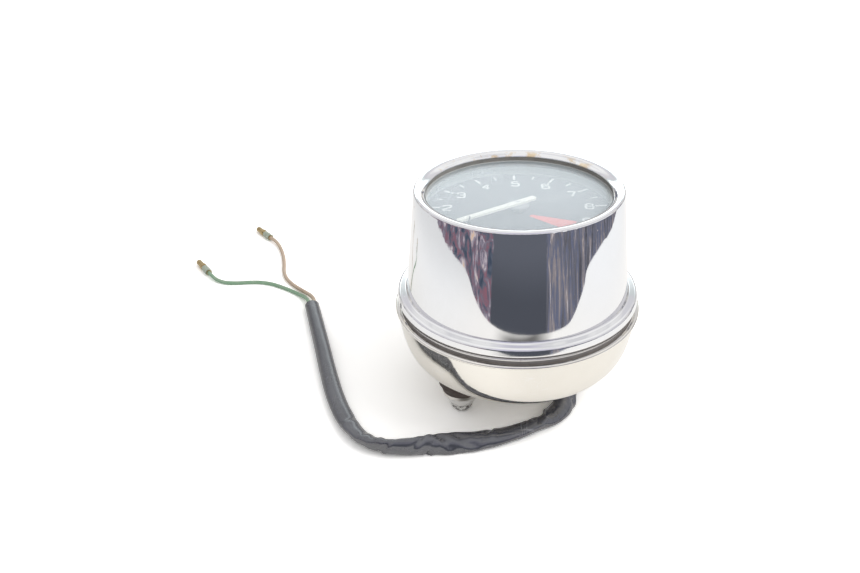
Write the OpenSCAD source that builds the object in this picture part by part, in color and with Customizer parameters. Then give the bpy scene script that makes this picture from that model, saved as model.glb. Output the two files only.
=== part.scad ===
// Cable-driven motorcycle tachometer in a chromed two-part case, with its lamp harness.
// Millimetres, +Z up along the gauge axis, dial facing up, 12 o'clock towards +Y.
// The origin is on the axis, level with the end of the cable spigot and the nut domes.

/* [Cover] */
// Outside diameter of the rolled rim round the glass
rim_d = 82.5; // [80:0.5:84]
// Radius of the roll at the top edge of the cover
rim_roll = 1; // [0.8:0.1:2]
// Diameter of the window inside the rim
window_d = 73.2; // [68:0.2:74]
// Fall of the rim's crown from its crest to the window's lip
rim_fall = 1.45; // [0.5:0.05:2]
// Height of the cover from its lower edge to the crest of the rim
cover_h = 49.5; // [46:0.5:56]
// Diameter of the cover's wall where it meets the flange
foot_d = 91.2; // [90:0.2:92]
// Outside diameter of the flange
flange_d = 99.4; // [98.6:0.2:103]
// Height of the flange
flange_h = 5.8; // [5:0.1:8]
// Radius of the roll round the flange's edge
flange_roll = 2.4; // [1.8:0.1:2.8]
// How far the flange's lower edge is tucked in
flange_tuck = 1.1; // [0.6:0.1:1.4]
// Thickness of the cover's sheet metal
sheet_t = 0.8; // [0.6:0.1:1]

/* [Lower shell] */
// Diameter of the bowl under its bead
bowl_d = 100; // [97:0.2:104]
// Height of the lower shell
shell_h = 29.6; // [26:0.1:34]
// Thickness of the shell
shell_t = 1; // [0.7:0.1:1.3]
// How square the bowl's section is, where 2 is an ellipse
bowl_square = 4.3; // [3.2:0.1:5]
// How much the bowl's wall leans in, for each unit of depth
bowl_lean = 0.14; // [0.08:0.01:0.2]
// Diameter of the bead round the shell's edge
bead_d = 1.6; // [1:0.1:2]
// Thickness of the rubber ring between shell and cover
seal_t = 1.2; // [0.8:0.1:2]

/* [Window and dial] */
// Thickness of the glass
glass_t = 1.6; // [1:0.1:2.2]
// Thickness of the rubber ring over the glass
glass_seal_t = 1.5; // [1:0.1:2]
// Gap between the dial's face and the glass
dial_gap = 5.1; // [4.8:0.1:6]
// Thickness of the dial plate
dial_t = 0.8; // [0.5:0.1:1.2]
// Play between the glass and the cover's wall
glass_play = 0.6; // [0.4:0.1:0.8]

/* [Needle] */
// Length of the needle from the axis to its tip
needle_l = 29; // [24:0.5:33]
// Length of the needle's tail from the axis
tail_l = 8.4; // [5:0.2:11]
// Width of the needle at its tail
tail_w = 2.8; // [2:0.1:3.4]
// Width of the needle at its tip
tip_w = 2.1; // [1.4:0.1:2.6]
// Thickness of the needle
needle_t = 0.9; // [0.6:0.1:1.1]
// Height of the needle's underside over the dial
needle_up = 2.8; // [2.6:0.1:3]
// Angle of the parked needle from 12 o'clock, counter-clockwise
park_angle = 124.5; // [120:0.5:128]
// Diameter of the needle's hub
hub_d = 9.2; // [6:0.2:12]
// Diameter of the stop pin
pin_d = 0.6; // [0.5:0.1:0.8]
// Distance of the stop pin from the axis, along the parked needle
pin_along = 24.2; // [18:0.2:26]

/* [Movement] */
// Diameter of the magnet
magnet_d = 24; // [20:0.5:25]
// Height of the magnet
magnet_h = 7; // [5:0.5:8]
// Gap between the magnet and the drag cup
magnet_gap = 0.6; // [0.4:0.1:0.8]
// Gap between the drag cup and the field cup
field_gap = 0.8; // [0.5:0.1:1]
// Thickness of the drag cup
drag_t = 0.8; // [0.5:0.1:1]
// Wall of the field cup
field_t = 1; // [0.8:0.1:1.4]
// Diameter of the drive shaft
shaft_d = 5; // [4:0.1:5.4]
// Diameter of the needle's spindle
spindle_d = 1.6; // [1.2:0.1:1.8]
// Turns of the hairspring
spring_turns = 5; // [3:1:6]
// Outer radius of the hairspring
spring_r = 9; // [8:0.1:9.5]
// Thickness of the hairspring's strip
spring_t = 0.25; // [0.2:0.05:0.3]
// Width of the hairspring's strip
spring_w = 1; // [0.8:0.1:1.2]

/* [Mounting] */
// Clear height under the lower shell
standoff = 14.9; // [14:0.1:20]
// Distance between the two studs
stud_pitch = 60; // [58:0.2:64]
// Angle of the studs from the X axis
stud_angle = 39.5; // [36:0.5:46]
// Diameter of the studs
stud_d = 8; // [6:1:8]
// Width across the flats of the acorn nuts
nut_af = 12; // [11:0.5:13]
// Height of the acorn nuts
nut_h = 10; // [9:0.5:12]
// Thickness of the washers
washer_t = 1.6; // [1:0.1:2]
// Diameter of the washers
washer_d = 16; // [14:0.2:17]
// Diameter of the rubber dampers
damper_d = 19; // [18:0.5:20.5]
// Diameter of the spigot's thread
spigot_d = 12; // [11:0.5:13]
// Bore of the spigot for the cable's ferrule
ferrule_d = 7.5; // [6.8:0.1:8]
// Depth of that bore
ferrule_deep = 8; // [7:0.5:9]
// Diameter of the spigot's collar through the shell
collar_d = 16; // [15:0.5:17]

/* [Lamp and harness] */
// Diameter of the lamp's glass
bulb_d = 10; // [8:0.5:10.5]
// Diameter of the lamp holder
holder_d = 14; // [13:0.5:14.5]
// Diameter of the harness sleeve
sleeve_d = 7; // [6:0.5:7]
// Diameter of the wires
wire_d = 2; // [1.6:0.1:2.2]
// Diameter of the bullet terminals
bullet_d = 3.9; // [3.4:0.1:4]
// Length of the bullet terminals with their crimps
bullet_l = 17; // [14:0.5:19]

/* [Clearances] */
// Radial clearance of a running fit
run_fit = 0.05; // [0.03:0.01:0.08]
// Radial clearance of a plug or locating fit
snug_fit = 0.1; // [0.05:0.05:0.15]
// Radial clearance of rubber in a hole
soft_fit = 0.3; // [0.3:0.1:0.5]
// Gap between the parked needle and the stop pin
stop_gap = 0.2; // [0.1:0.05:0.4]

/* [Hidden] */
$fn = 96;

// Heights up the axis
shell_top = standoff + shell_h;
cover_z = shell_top + seal_t;
crest_z = cover_z + cover_h;
flange_top = cover_z + flange_h;
lip_under = crest_z - rim_fall - sheet_t;
glass_top = lip_under - glass_seal_t;
glass_z = glass_top - glass_t;
dial_face = glass_z - dial_gap;
dial_z = dial_face - dial_t;
needle_z = dial_face + needle_up;
needle_top = needle_z + needle_t;
case_up = 10.6;
case_z = standoff + case_up;
case_t = 1;
deck_z = case_z + case_t;

// Radii of the case's pieces
rim_r = rim_d / 2;
window_r = window_d / 2;
foot_r = foot_d / 2;
flange_r = flange_d / 2;
edge_r = flange_r - flange_tuck;
bowl_r = bowl_d / 2;
bowl_top = shell_top - bead_d;
bowl_h = bowl_top - standoff;
glass_r = rim_r - sheet_t - glass_play;
dial_r = glass_r - 1;
can_r = glass_r - 0.4;
can_t = 0.8;
can_lip_w = 2.4;

// Width of the flange beyond the wall's foot, the fillet between them and the end of the flange's roll.
// The fillet and the roll give way where the flange is hardly wider than the wall.
flange_w = flange_r - foot_r;
foot_fillet = min(1, max(0, flange_w - flange_roll));
roll_end = acos(min(1, max(0, 1 - flange_w / flange_roll)));

// The seal lies under the cover's edge, clear of the can, and the shell's ledge reaches under it
seal_w = 4.6;
seal_inner = max(can_r + snug_fit, edge_r - 0.2 - seal_w);
ledge_w = 4.6;
ledge_inner = min(bowl_r - ledge_w, seal_inner + 1.6);

// Places of the studs, the lamp and the harness outlet
stud_r = stud_pitch / 2;
nut_bore_d = stud_d + 2 * run_fit;
lamp_r = 28;
lamp_angle = 150;
outlet = [25.4, 0.4];
outlet_d = 11.6;

// Heights in the movement
boss_h = 17.5;
boss_top = deck_z + boss_h;
frame_t = 2.5;
table_z = boss_top + frame_t;
bush_flange_t = 0.8;
thrust_t = 0.5;
carrier_z = boss_top + bush_flange_t + thrust_t + 0.1;
carrier_rim_t = 1;
carrier_rim_w = 3.5;
magnet_up = 1.5;
magnet_z = table_z + magnet_up;
magnet_top = magnet_z + magnet_h;
shaft_out = 2;
shaft_top = magnet_top + shaft_out;
cup_up = 2.2;
drag_top = shaft_top + cup_up;
cup_hub_h = 2.2;
field_top = drag_top - 0.2;
bridge_up = 4.8;
bridge_z = drag_top + bridge_up;
bridge_t = 2;
bridge_top = bridge_z + bridge_t;
spring_up = 3.6;
spring_z = bridge_top + spring_up;

// Radii in the movement
magnet_r = magnet_d / 2;
drag_r = magnet_r + magnet_gap + drag_t;
field_r = drag_r + field_gap + field_t;
shaft_r = shaft_d / 2;
spindle_r = spindle_d / 2;
pivot_r = 0.5;
pivot_l = 2.4;
bush_t = 2;
bush_r = shaft_r + bush_t;
bush_z = 13;
bush_l = 6;
spigot_up = 7;
collar_z = 12.5;
collar_lip = 2.5;
boss_t = 3;
boss_r = bush_r + boss_t;
carrier_t = 1.5;
carrier_r = shaft_r + carrier_t;
field_foot_w = 6;
bridge_post_gap = 2.8;
bridge_screw_l = 4.5;
bridge_post_r = field_r + bridge_post_gap;
table_margin = 5.2;
table_r = field_r + table_margin;
frame_base_r = 15;
frame_screw_r = 1.25;
frame_screw_l = 2.1;
frame_head_h = 1.5;
stud_head_h = 1.2;
holder_tail = 4.6;
holder_up = 6;
collet_r = 2.2;
post_r = 2.25;
dial_screw_r = 1.1;
dial_screw_places = [[-9.5, -24.5], [9.5, -24.5]];
dial_post_places = [[-9.5, -24.5], [9.5, -24.5], [0, 26]];

// The needle lies along this angle from the X axis when parked
parked = 90 + park_angle;
needle_w_at_pin = tail_w + (tip_w - tail_w) * (pin_along + tail_l) / (needle_l + tail_l);
pin_side = needle_w_at_pin / 2 + stop_gap + pin_d / 2;

// Route of the sleeve's centre, from the grommet along the ground
sleeve_route = [
    [25.4, -3.9, 10.6], [24.9, -7, 7.9], [24, -11, 5.5], [22.3, -15.7, 4],
    [19, -22.2, 3.5], [12.6, -29.4, 3.5], [4.4, -34.9, 3.5], [-5, -39.3, 3.5],
    [-15, -42.8, 3.5], [-25.5, -45.2, 3.5], [-35.5, -47.2, 3.5], [-45.2, -48.6, 3.5],
    [-53.8, -47.8, 3.5], [-61.4, -43.8, 3.5], [-67.6, -37, 3.5], [-73.4, -27, 3.5],
    [-79.4, -12.6, 3.5], [-85.4, 5.8, 3.5], [-91.2, 25.2, 3.5], [-97.4, 45.6, 3.5],
    [-102.6, 62.6, 3.5]
];
// Routes of the two wires from the sleeve's end to their terminals
green_route = [
    [-104, 62.2, 3.2], [-105.3, 66.5, 3.2], [-107.7, 70.9, 2.4], [-111.8, 75.8, 1.4],
    [-117, 80.2, 1], [-122.8, 84.2, 1], [-129.2, 87.8, 1], [-135.8, 89.8, 1],
    [-142.4, 90, 1], [-149.4, 89.4, 1], [-156, 89.8, 1.1], [-161.6, 92.2, 1.5],
    [-165.6, 96, 2], [-168.3, 99.6, 2]
];
brown_route = [
    [-101.2, 63.1, 3.6], [-102.5, 67.3, 3.6], [-105.2, 72.8, 2.6], [-110.4, 79.4, 1.4],
    [-117, 86.4, 1], [-122.4, 93.8, 1], [-125.6, 101.8, 1], [-127.6, 111.4, 1],
    [-130.4, 122, 1], [-134.4, 132.2, 1.3], [-138.2, 138.4, 2], [-142.4, 143.4, 2]
];
// Routes of the two leads inside the shell, from the lamp holder to the grommet
lead_routes = [
    [
        [-18.9, 15.4, 22.4], [-14, 16.4, 22], [-6, 17.2, 21.6], [4, 15, 21.6], [13, 10.4, 21.8],
        [19.6, 6, 22.2], [23.2, 3.6, 21.9], [24.6, 2.6, 20.2], [24.9, 2.4, 18.5]
    ],
    [
        [-18.9, 12.6, 22.4], [-14, 13.2, 22], [-6, 13.8, 21.6], [4, 11.6, 21.6], [12, 7.4, 21.8],
        [18.6, 2.6, 22.2], [22, 0.6, 21.9], [23.4, -0.2, 20.2], [23.7, -0.4, 18.5]
    ]
];

// Points round an arc in a section, from angle a to angle b
function arc(centre, r, a, b, steps = 10) =
    [for (i = [0:steps]) centre + r * [cos(a + (b - a) * i / steps), sin(a + (b - a) * i / steps)]];

// Points of the bowl's section, from its rim down to the axis
function bowl_curve(r, h, top, steps = 26) =
    [for (i = [0:steps]) let (a = 90 * i / steps, drop = h * pow(sin(a), 2 / bowl_square))
        [(r - bowl_lean * drop) * pow(cos(a), 2 / bowl_square), top - drop]];

// The same points in the other order
function reversed(points) = [for (i = [len(points) - 1:-1:0]) points[i]];

// Section of the bowl's wall, from its rim down to the axis and back
function bowl_wall() = concat(
    bowl_curve(bowl_r, bowl_h, bowl_top),
    reversed(bowl_curve(bowl_r - shell_t, bowl_h - shell_t, bowl_top))
);

// A ring with a rectangular section
module ring(outer, inner, z, h) {
    translate([0, 0, z]) rotate_extrude() translate([inner, 0]) square([outer - inner, h]);
}

// A round bar from height z up
module bar(r, z, h) {
    translate([0, 0, z]) cylinder(r = r, h = h);
}

// Two places, one for each stud
module at_studs() {
    for (side = [0, 180]) rotate(stud_angle + side) translate([stud_r, 0, 0]) children();
}

// Turning of a direction about Z, and its lean from +Z
function heading(v) = atan2(v[1], v[0]);
function lean(v) = acos(v[2] / norm(v));

// Stands its child on a point, with +Z along a direction
module aimed(at, along) {
    translate(at) rotate([0, lean(along), heading(along)]) children();
}

// A tube swept along a route, as one closed solid of flat faces
module swept(route, d, sides) {
    last = len(route) - 1;
    along = [for (i = [0:last])
        let (v = i == 0 ? route[1] - route[0]
            : i == last ? route[last] - route[last - 1]
            : (route[i] - route[i - 1]) / norm(route[i] - route[i - 1])
                + (route[i + 1] - route[i]) / norm(route[i + 1] - route[i]))
        v / norm(v)];
    across = [for (v = along) let (s = cross(v, [0, 0, 1])) s / norm(s)];
    points = [for (i = [0:last]) let (up = cross(across[i], along[i]))
        for (k = [0:sides - 1])
            route[i] + d / 2 * (cos(360 * k / sides) * across[i] + sin(360 * k / sides) * up)];
    walls = [for (i = [0:last - 1]) for (k = [0:sides - 1])
        let (a = i * sides + k, b = i * sides + (k + 1) % sides)
        each [[a, b, b + sides], [a, b + sides, a + sides]]];
    polyhedron(
        points,
        concat([[for (k = [sides - 1:-1:0]) k]], walls, [[for (k = [0:sides - 1]) last * sides + k]]),
        convexity = 6
    );
}

// Chromed cover, spun from sheet, with its rolled rim and flange
module upper_cover() {
    roll_at = [flange_r - flange_roll, flange_top - flange_roll];
    fillet_at = [foot_r + foot_fillet, flange_top + foot_fillet];
    rim_at = [rim_r - rim_roll, crest_z - rim_roll];
    lip_r = sheet_t / 2;
    crown_w = rim_r - rim_roll - window_r - lip_r;
    crown_angle = 2 * atan(rim_fall / crown_w);
    crown_r = crown_w / sin(crown_angle);
    crown_at = [rim_r - rim_roll, crest_z - lip_r - crown_r];
    lip_at = crown_at + crown_r * [-sin(crown_angle), cos(crown_angle)];
    color("gainsboro") rotate_extrude() polygon(concat(
        [[edge_r, cover_z]],
        arc(roll_at, flange_roll, -60, roll_end, 16),
        foot_fillet > 0 ? arc(fillet_at, foot_fillet, 270, 180, 6) : [[foot_r, flange_top]],
        arc(rim_at, rim_roll, 0, 90),
        arc(crown_at, crown_r + lip_r, 90 + crown_angle / 8, 90 + crown_angle, 7),
        arc(lip_at, lip_r, 120 + crown_angle, 240 + crown_angle, 4),
        arc(crown_at, crown_r - lip_r, 90 + crown_angle, 90 + crown_angle / 8, 7),
        arc(rim_at, max(0.1, rim_roll - sheet_t), 90, 0, 4),
        foot_fillet > 0 ? arc(fillet_at, foot_fillet + sheet_t, 180, 270, 6)
            : [[foot_r - sheet_t, flange_top]],
        arc(roll_at, flange_roll - sheet_t, roll_end, -60, 16),
        [[edge_r - sheet_t, cover_z]]
    ));
}

// Rubber ring between the rim's lip and the glass
module lens_gasket() {
    color("dimgray") ring(glass_r, window_r + 0.3, glass_top, glass_seal_t);
}

// Flat glass with its edge eased
module lens() {
    ease = 0.3;
    color([0.85, 0.92, 0.95, 0.4]) rotate_extrude() polygon([
        [0, glass_z], [glass_r - ease, glass_z], [glass_r, glass_z + ease],
        [glass_r, glass_top - ease], [glass_r - ease, glass_top], [0, glass_top]
    ]);
}

// Ring that holds the dial down and shades its edge
module dial_shroud() {
    inner = window_r + 0.3;
    color("darkslategray") rotate_extrude() polygon([
        [inner + 0.5, dial_face], [glass_r - 0.2, dial_face],
        [glass_r - 0.2, glass_z], [inner, glass_z]
    ]);
}

// Dial plate with its holes for the spindle, the screws and the stop pin
module dial_plate() {
    color("black") difference() {
        bar(dial_r, dial_z, dial_t);
        bar(spindle_r + 1.6, dial_z - 1, dial_t + 2);
        for (p = dial_screw_places)
            translate(p) bar(dial_screw_r + snug_fit, dial_z - 1, dial_t + 2);
        at_pin() bar(pin_d / 2 + run_fit, dial_z - 1, dial_t + 2);
    }
}

// Small domed screws that hold the dial to its posts
module dial_screws() {
    head_r = 1.9;
    color("black") for (p = dial_screw_places) translate(p) {
        rotate_extrude() polygon(concat(
            [[0, dial_z - 5], [dial_screw_r, dial_z - 5], [dial_screw_r, dial_face], [head_r, dial_face]],
            arc([head_r - 0.7, dial_face + 0.1], 0.7, 0, 90, 6),
            [[0, dial_face + 0.8]]
        ));
    }
}

// The stop pin's place beside the parked needle
module at_pin() {
    rotate(parked) translate([pin_along, pin_side, 0]) children();
}

// Wire pin that the needle rests against
module stop_pin() {
    color("dimgray") at_pin() bar(pin_d / 2, dial_z, needle_top + 0.9 - dial_z);
}

// Needle, tapered in plan with a rounded tip and a square tail
module needle() {
    tip_r = tip_w / 2;
    color("ivory") difference() {
        rotate(parked) translate([0, 0, needle_z]) linear_extrude(needle_t) polygon(concat(
            [[-tail_l, tail_w / 2 - 0.3], [-tail_l, 0.3 - tail_w / 2], [0.3 - tail_l, -tail_w / 2]],
            arc([needle_l - tip_r, 0], tip_r, -90, 90, 8),
            [[0.3 - tail_l, tail_w / 2]]
        ));
        bar(spindle_r, needle_z - 1, needle_t + 2);
    }
}

// Round hub that carries the needle on its spindle
module needle_hub() {
    hub_z = dial_face + 1.3;
    color("black") difference() {
        rotate_extrude() polygon([
            [0, hub_z], [hub_d / 2 - 0.4, hub_z], [hub_d / 2, hub_z + 0.4],
            [hub_d / 2, needle_z - 0.3], [hub_d / 2 - 0.3, needle_z], [0, needle_z]
        ]);
        bar(spindle_r, hub_z - 1, needle_up + 2);
    }
}

// Steel spindle from its lower pivot up to the needle
module needle_spindle() {
    pivot_z = shaft_top + 0.3;
    color("silver") rotate_extrude() polygon([
        [0, pivot_z - pivot_l], [pivot_r - 0.2, pivot_z - pivot_l], [pivot_r, pivot_z - pivot_l + 0.3],
        [pivot_r, pivot_z], [spindle_r, pivot_z + 0.4], [spindle_r, needle_top], [0, needle_top]
    ]);
}

// Aluminium cup that the spinning magnet drags round
module drag_cup() {
    color("lightgray") difference() {
        rotate_extrude() polygon([
            [0, drag_top - drag_t], [drag_r - drag_t, drag_top - drag_t],
            [drag_r - drag_t, magnet_z + 0.5], [drag_r, magnet_z + 0.5],
            [drag_r, drag_top - 0.5], [drag_r - 0.5, drag_top],
            [2.4, drag_top], [2, drag_top + cup_hub_h], [0, drag_top + cup_hub_h]
        ]);
        bar(spindle_r, drag_top - drag_t - 1, drag_t + cup_hub_h + 2);
    }
}

// Brass collet that holds the hairspring's inner end
module hairspring_collet() {
    color("goldenrod") ring(collet_r, spindle_r, spring_z - 0.5, spring_w + 1);
}

// Flat spiral spring that pulls the needle back to its pin
module hairspring() {
    inner = collet_r + 0.3 + spring_t / 2;
    outer = spring_r - spring_t / 2;
    steps = spring_turns * 24;
    function spiral(i, side) =
        let (a = 360 * spring_turns * i / steps, r = inner + (outer - inner) * i / steps + side)
        [r * cos(a), r * sin(a)];
    color("peru") translate([0, 0, spring_z]) linear_extrude(spring_w) polygon(concat(
        [for (i = [0:steps]) spiral(i, spring_t / 2)],
        [for (i = [steps:-1:0]) spiral(i, -spring_t / 2)]
    ));
}

// Stud on the bridge that anchors the hairspring's outer end
module hairspring_stud() {
    stud = 0.9;
    color("goldenrod") translate([spring_r + stud, 0, 0])
        bar(stud, bridge_top, spring_z + spring_w + 0.6 - bridge_top);
}

// Bridge over the drag cup, a bar with round ends
module top_bridge() {
    half_w = 4.5;
    reach = spring_r + 3;
    color("silver") difference() {
        translate([0, 0, bridge_z]) linear_extrude(bridge_t) union() {
            for (side = [-1, 1]) translate([0, side * bridge_post_r]) circle(half_w);
            translate([-half_w, -bridge_post_r]) square([2 * half_w, 2 * bridge_post_r]);
            translate([0, -2.5]) square([reach, 5]);
        }
        bar(spindle_r + 1.1, bridge_z - 1, bridge_t + 2);
        for (side = [-1, 1]) translate([0, side * bridge_post_r, 0])
            bar(1.2, bridge_z - 1, bridge_t + 2);
    }
}

// Flanged brass bush for the upper end of the spindle
module bridge_bush() {
    bush = spindle_r + 1.1;
    color("goldenrod") rotate_extrude() polygon([
        [spindle_r + run_fit, bridge_z - 0.6], [bush + 0.8, bridge_z - 0.6], [bush + 0.8, bridge_z],
        [bush, bridge_z], [bush, bridge_top + 0.6], [spindle_r + run_fit, bridge_top + 0.6]
    ]);
}

// Two posts that carry the bridge
module bridge_posts() {
    color("silver") for (side = [-1, 1]) translate([0, side * bridge_post_r, 0]) difference() {
        bar(2, table_z, bridge_z - table_z);
        bar(1 + run_fit, bridge_z - bridge_screw_l - 0.5, bridge_screw_l + 1.5);
    }
}

// Two screws through the bridge into its posts
module bridge_screws() {
    color("dimgray") for (side = [-1, 1]) translate([0, side * bridge_post_r, 0]) difference() {
        union() {
            bar(1, bridge_z - bridge_screw_l, bridge_t + bridge_screw_l + 0.1);
            bar(2, bridge_top, 1.4);
        }
        translate([-2.5, -0.25, bridge_top + 0.7]) cube([5, 0.5, 1]);
    }
}

// Steel cup that closes the magnet's field round the drag cup
module field_cup() {
    color("slategray") rotate_extrude() polygon([
        [field_r - field_t, table_z + field_t], [field_r - field_t, field_top],
        [field_r, field_top], [field_r, table_z],
        [field_r - field_foot_w, table_z], [field_r - field_foot_w, table_z + field_t]
    ]);
}

// Ring magnet on its carrier
module magnet() {
    color("darkslategray") ring(magnet_r, carrier_r + run_fit, magnet_z, magnet_h);
}

// Hub that holds the magnet on the drive shaft
module magnet_carrier() {
    rim_r = carrier_r + carrier_rim_w;
    rim_z = magnet_z - carrier_rim_t;
    color("lightgray") rotate_extrude() polygon([
        [shaft_r, carrier_z], [carrier_r, carrier_z], [carrier_r, rim_z],
        [rim_r, rim_z], [rim_r, magnet_z], [carrier_r, magnet_z],
        [carrier_r, magnet_top + 0.8], [shaft_r, magnet_top + 0.8]
    ]);
}

// Thin washer between the upper bush and the carrier
module thrust_washer() {
    color("goldenrod") ring(shaft_r + 1.6, shaft_r, carrier_z - thrust_t, thrust_t);
}

// Drive shaft with the square socket for the cable's end
module drive_shaft() {
    socket = 2.7;
    shaft_z = ferrule_deep + 0.5;
    color("silver") difference() {
        rotate_extrude() polygon([
            [0, shaft_z], [shaft_r - 0.4, shaft_z], [shaft_r, shaft_z + 0.4],
            [shaft_r, shaft_top - 0.3], [shaft_r - 0.3, shaft_top], [0, shaft_top]
        ]);
        translate([-socket / 2, -socket / 2, shaft_z - 1]) cube([socket, socket, 8]);
        bar(pivot_r + run_fit, shaft_top - pivot_l - 0.6, pivot_l + 2);
    }
}

// Sintered bush in the spigot
module lower_bush() {
    color("darkgoldenrod") ring(bush_r, shaft_r + run_fit, bush_z, bush_l);
}

// Sintered bush in the frame's boss, with its flange
module upper_bush() {
    foot_z = boss_top - bush_l;
    top_z = boss_top + bush_flange_t;
    color("darkgoldenrod") rotate_extrude() polygon([
        [shaft_r + run_fit, foot_z], [bush_r, foot_z], [bush_r, boss_top],
        [bush_r + 1.2, boss_top], [bush_r + 1.2, top_z], [shaft_r + run_fit, top_z]
    ]);
}

// Die-cast frame: base flange, boss, table and the ears for the dial posts
module movement_frame() {
    color("darkgray") difference() {
        union() {
            rotate_extrude() polygon([
                [0, deck_z], [frame_base_r, deck_z], [frame_base_r, deck_z + 2],
                [boss_r + 2, deck_z + 2.5], [boss_r, deck_z + 5],
                [boss_r, boss_top - 3], [boss_r + 3, boss_top],
                [table_r, boss_top], [table_r, table_z], [0, table_z]
            ]);
            for (p = dial_post_places) translate([0, 0, boss_top]) linear_extrude(frame_t) union() {
                translate(p) circle(4);
                rotate(heading(p)) translate([0, -4]) square([norm(p), 8]);
            }
        }
        bar(bush_r, boss_top - bush_l, bush_l + frame_t + 1);
        bar(field_r - field_foot_w - 0.5, boss_top, frame_t + 1);
        bar(shaft_r + 0.7, deck_z - 1, boss_top);
        bar(spigot_d / 2 + snug_fit, deck_z - 1, spigot_up + 2);
        at_frame_screws() bar(frame_screw_r + run_fit, deck_z - 1, frame_screw_l + 2.9);
    }
}

// Two places for the screws in the frame's base
module at_frame_screws() {
    for (side = [-1, 1]) translate([0, side * (frame_base_r - 2.8), 0]) children();
}

// Two screws that hold the frame to the inner case, from below
module frame_screws() {
    color("dimgray") at_frame_screws() {
        bar(frame_screw_r, case_z - 0.1, case_t + frame_screw_l);
        bar(2.3, case_z - frame_head_h, frame_head_h);
    }
}

// Three posts between the frame and the dial
module dial_posts() {
    color("silver") for (p = dial_post_places) translate(p) difference() {
        bar(post_r, table_z, dial_z - table_z);
        bar(dial_screw_r + run_fit, dial_z - 6, 7);
    }
}

// Inner steel can that holds the movement, with its flange and holes
module inner_case() {
    flange_z = cover_z;
    flange_out = edge_r - sheet_t - 0.4;
    color("whitesmoke") difference() {
        rotate_extrude() polygon([
            [0, case_z], [can_r - 1, case_z], [can_r, case_z + 1], [can_r, flange_z],
            [flange_out, flange_z], [flange_out, flange_z + can_t], [can_r, flange_z + can_t],
            [can_r, dial_z], [can_r - can_lip_w, dial_z], [can_r - can_lip_w, dial_z - can_t],
            [can_r - can_t, dial_z - can_t], [can_r - can_t, deck_z], [0, deck_z]
        ]);
        bar(spigot_d / 2 + snug_fit, case_z - 1, case_t + 2);
        rotate(lamp_angle) translate([lamp_r, 0, 0])
            bar(holder_d / 2 + snug_fit, case_z - 1, case_t + 2);
        at_frame_screws() bar(frame_screw_r + snug_fit, case_z - 1, case_t + 2);
    }
}

// Lamp holder, pushed into the case from below
module lamp_holder() {
    tail_z = case_z - holder_tail;
    socket_r = 4.2;
    color("darkkhaki") rotate(lamp_angle) translate([lamp_r, 0, 0]) rotate_extrude() polygon([
        [0, tail_z], [holder_d / 2 - 2, tail_z], [holder_d / 2 - 1.5, case_z - 2],
        [holder_d / 2 + 1.6, case_z - 2], [holder_d / 2 + 1.6, case_z],
        [holder_d / 2, case_z], [holder_d / 2, deck_z + holder_up], [socket_r, deck_z + holder_up],
        [socket_r, deck_z], [0, deck_z]
    ]);
}

// Wedge-base lamp in its holder
module lamp_bulb() {
    base_r = 4.1;
    base_z = deck_z;
    globe_z = deck_z + 9;
    globe_r = bulb_d / 2;
    globe_h = 16;
    color("lightcyan") rotate(lamp_angle) translate([lamp_r, 0, 0]) rotate_extrude() polygon(concat(
        [[0, base_z], [base_r, base_z], [base_r, globe_z - 1], [globe_r, globe_z + 1]],
        arc([0, globe_z + globe_h - globe_r], globe_r, 0, 90, 12)
    ));
}

// Two leads from the lamp holder to the grommet
module lamp_leads() {
    color("darkolivegreen") for (route = lead_routes) swept(route, 1.6, 6);
}

// Two studs with their heads under the inner case
module mounting_studs() {
    head_r = 6.5;
    tip_z = 3.8;
    color("silver") at_studs() rotate_extrude() polygon([
        [0, tip_z], [stud_d / 2 - 0.6, tip_z], [stud_d / 2, tip_z + 0.6],
        [stud_d / 2, case_z - stud_head_h], [head_r, case_z - stud_head_h],
        [head_r, case_z], [0, case_z]
    ]);
}

// Rubber ring between the shell's ledge and the cover
module case_gasket() {
    color("black") ring(edge_r - 0.2, seal_inner, shell_top, seal_t);
}

// Chromed lower shell: bead, bowl and the holes in its floor
module lower_shell() {
    bead_r = bead_d / 2;
    bead_at = [bowl_r, shell_top - bead_r];
    color("lightgray") difference() {
        rotate_extrude() polygon(concat(
            [[ledge_inner, shell_top]],
            arc(bead_at, bead_r, 90, -75, 11),
            bowl_wall(),
            [[bowl_r - shell_t, shell_top - shell_t], [ledge_inner, shell_top - shell_t]]
        ));
        bar(collar_d / 2 + soft_fit, standoff - 1, shell_t + 2);
        at_studs() bar(damper_d / 2 + soft_fit, standoff - 1, 12);
        translate(outlet) bar(outlet_d / 2 + snug_fit, standoff - 1, shell_t + 3);
    }
}

// Thin hexagon nut that clamps the shell on the spigot's collar
module shell_nut() {
    af = 22;
    h = 2.2;
    color("silver") difference() {
        translate([0, 0, standoff - h]) cylinder(r = af / sqrt(3), h = h, $fn = 6);
        bar(collar_d / 2 + run_fit, standoff - h - 1, h + 2);
    }
}

// Threaded spigot that takes the cable's union nut
module cable_spigot() {
    r = spigot_d / 2;
    relief = 0.6;
    color("silver") difference() {
        rotate_extrude() polygon([
            [0, 0], [r - 0.7, 0], [r, 0.7], [r, collar_z - 2.2], [r - relief, collar_z - 1.6],
            [r - relief, collar_z], [collar_d / 2 - 0.4, collar_z], [collar_d / 2, collar_z + 0.4],
            [collar_d / 2, case_z - collar_lip], [collar_d / 2 + 1, case_z - collar_lip],
            [collar_d / 2 + 1, case_z], [r, case_z], [r, deck_z + spigot_up], [0, deck_z + spigot_up]
        ]);
        bar(ferrule_d / 2, -1, ferrule_deep + 1);
        bar(shaft_r + 0.6, ferrule_deep - 1, bush_z);
        bar(bush_r, bush_z, deck_z);
    }
}

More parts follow.
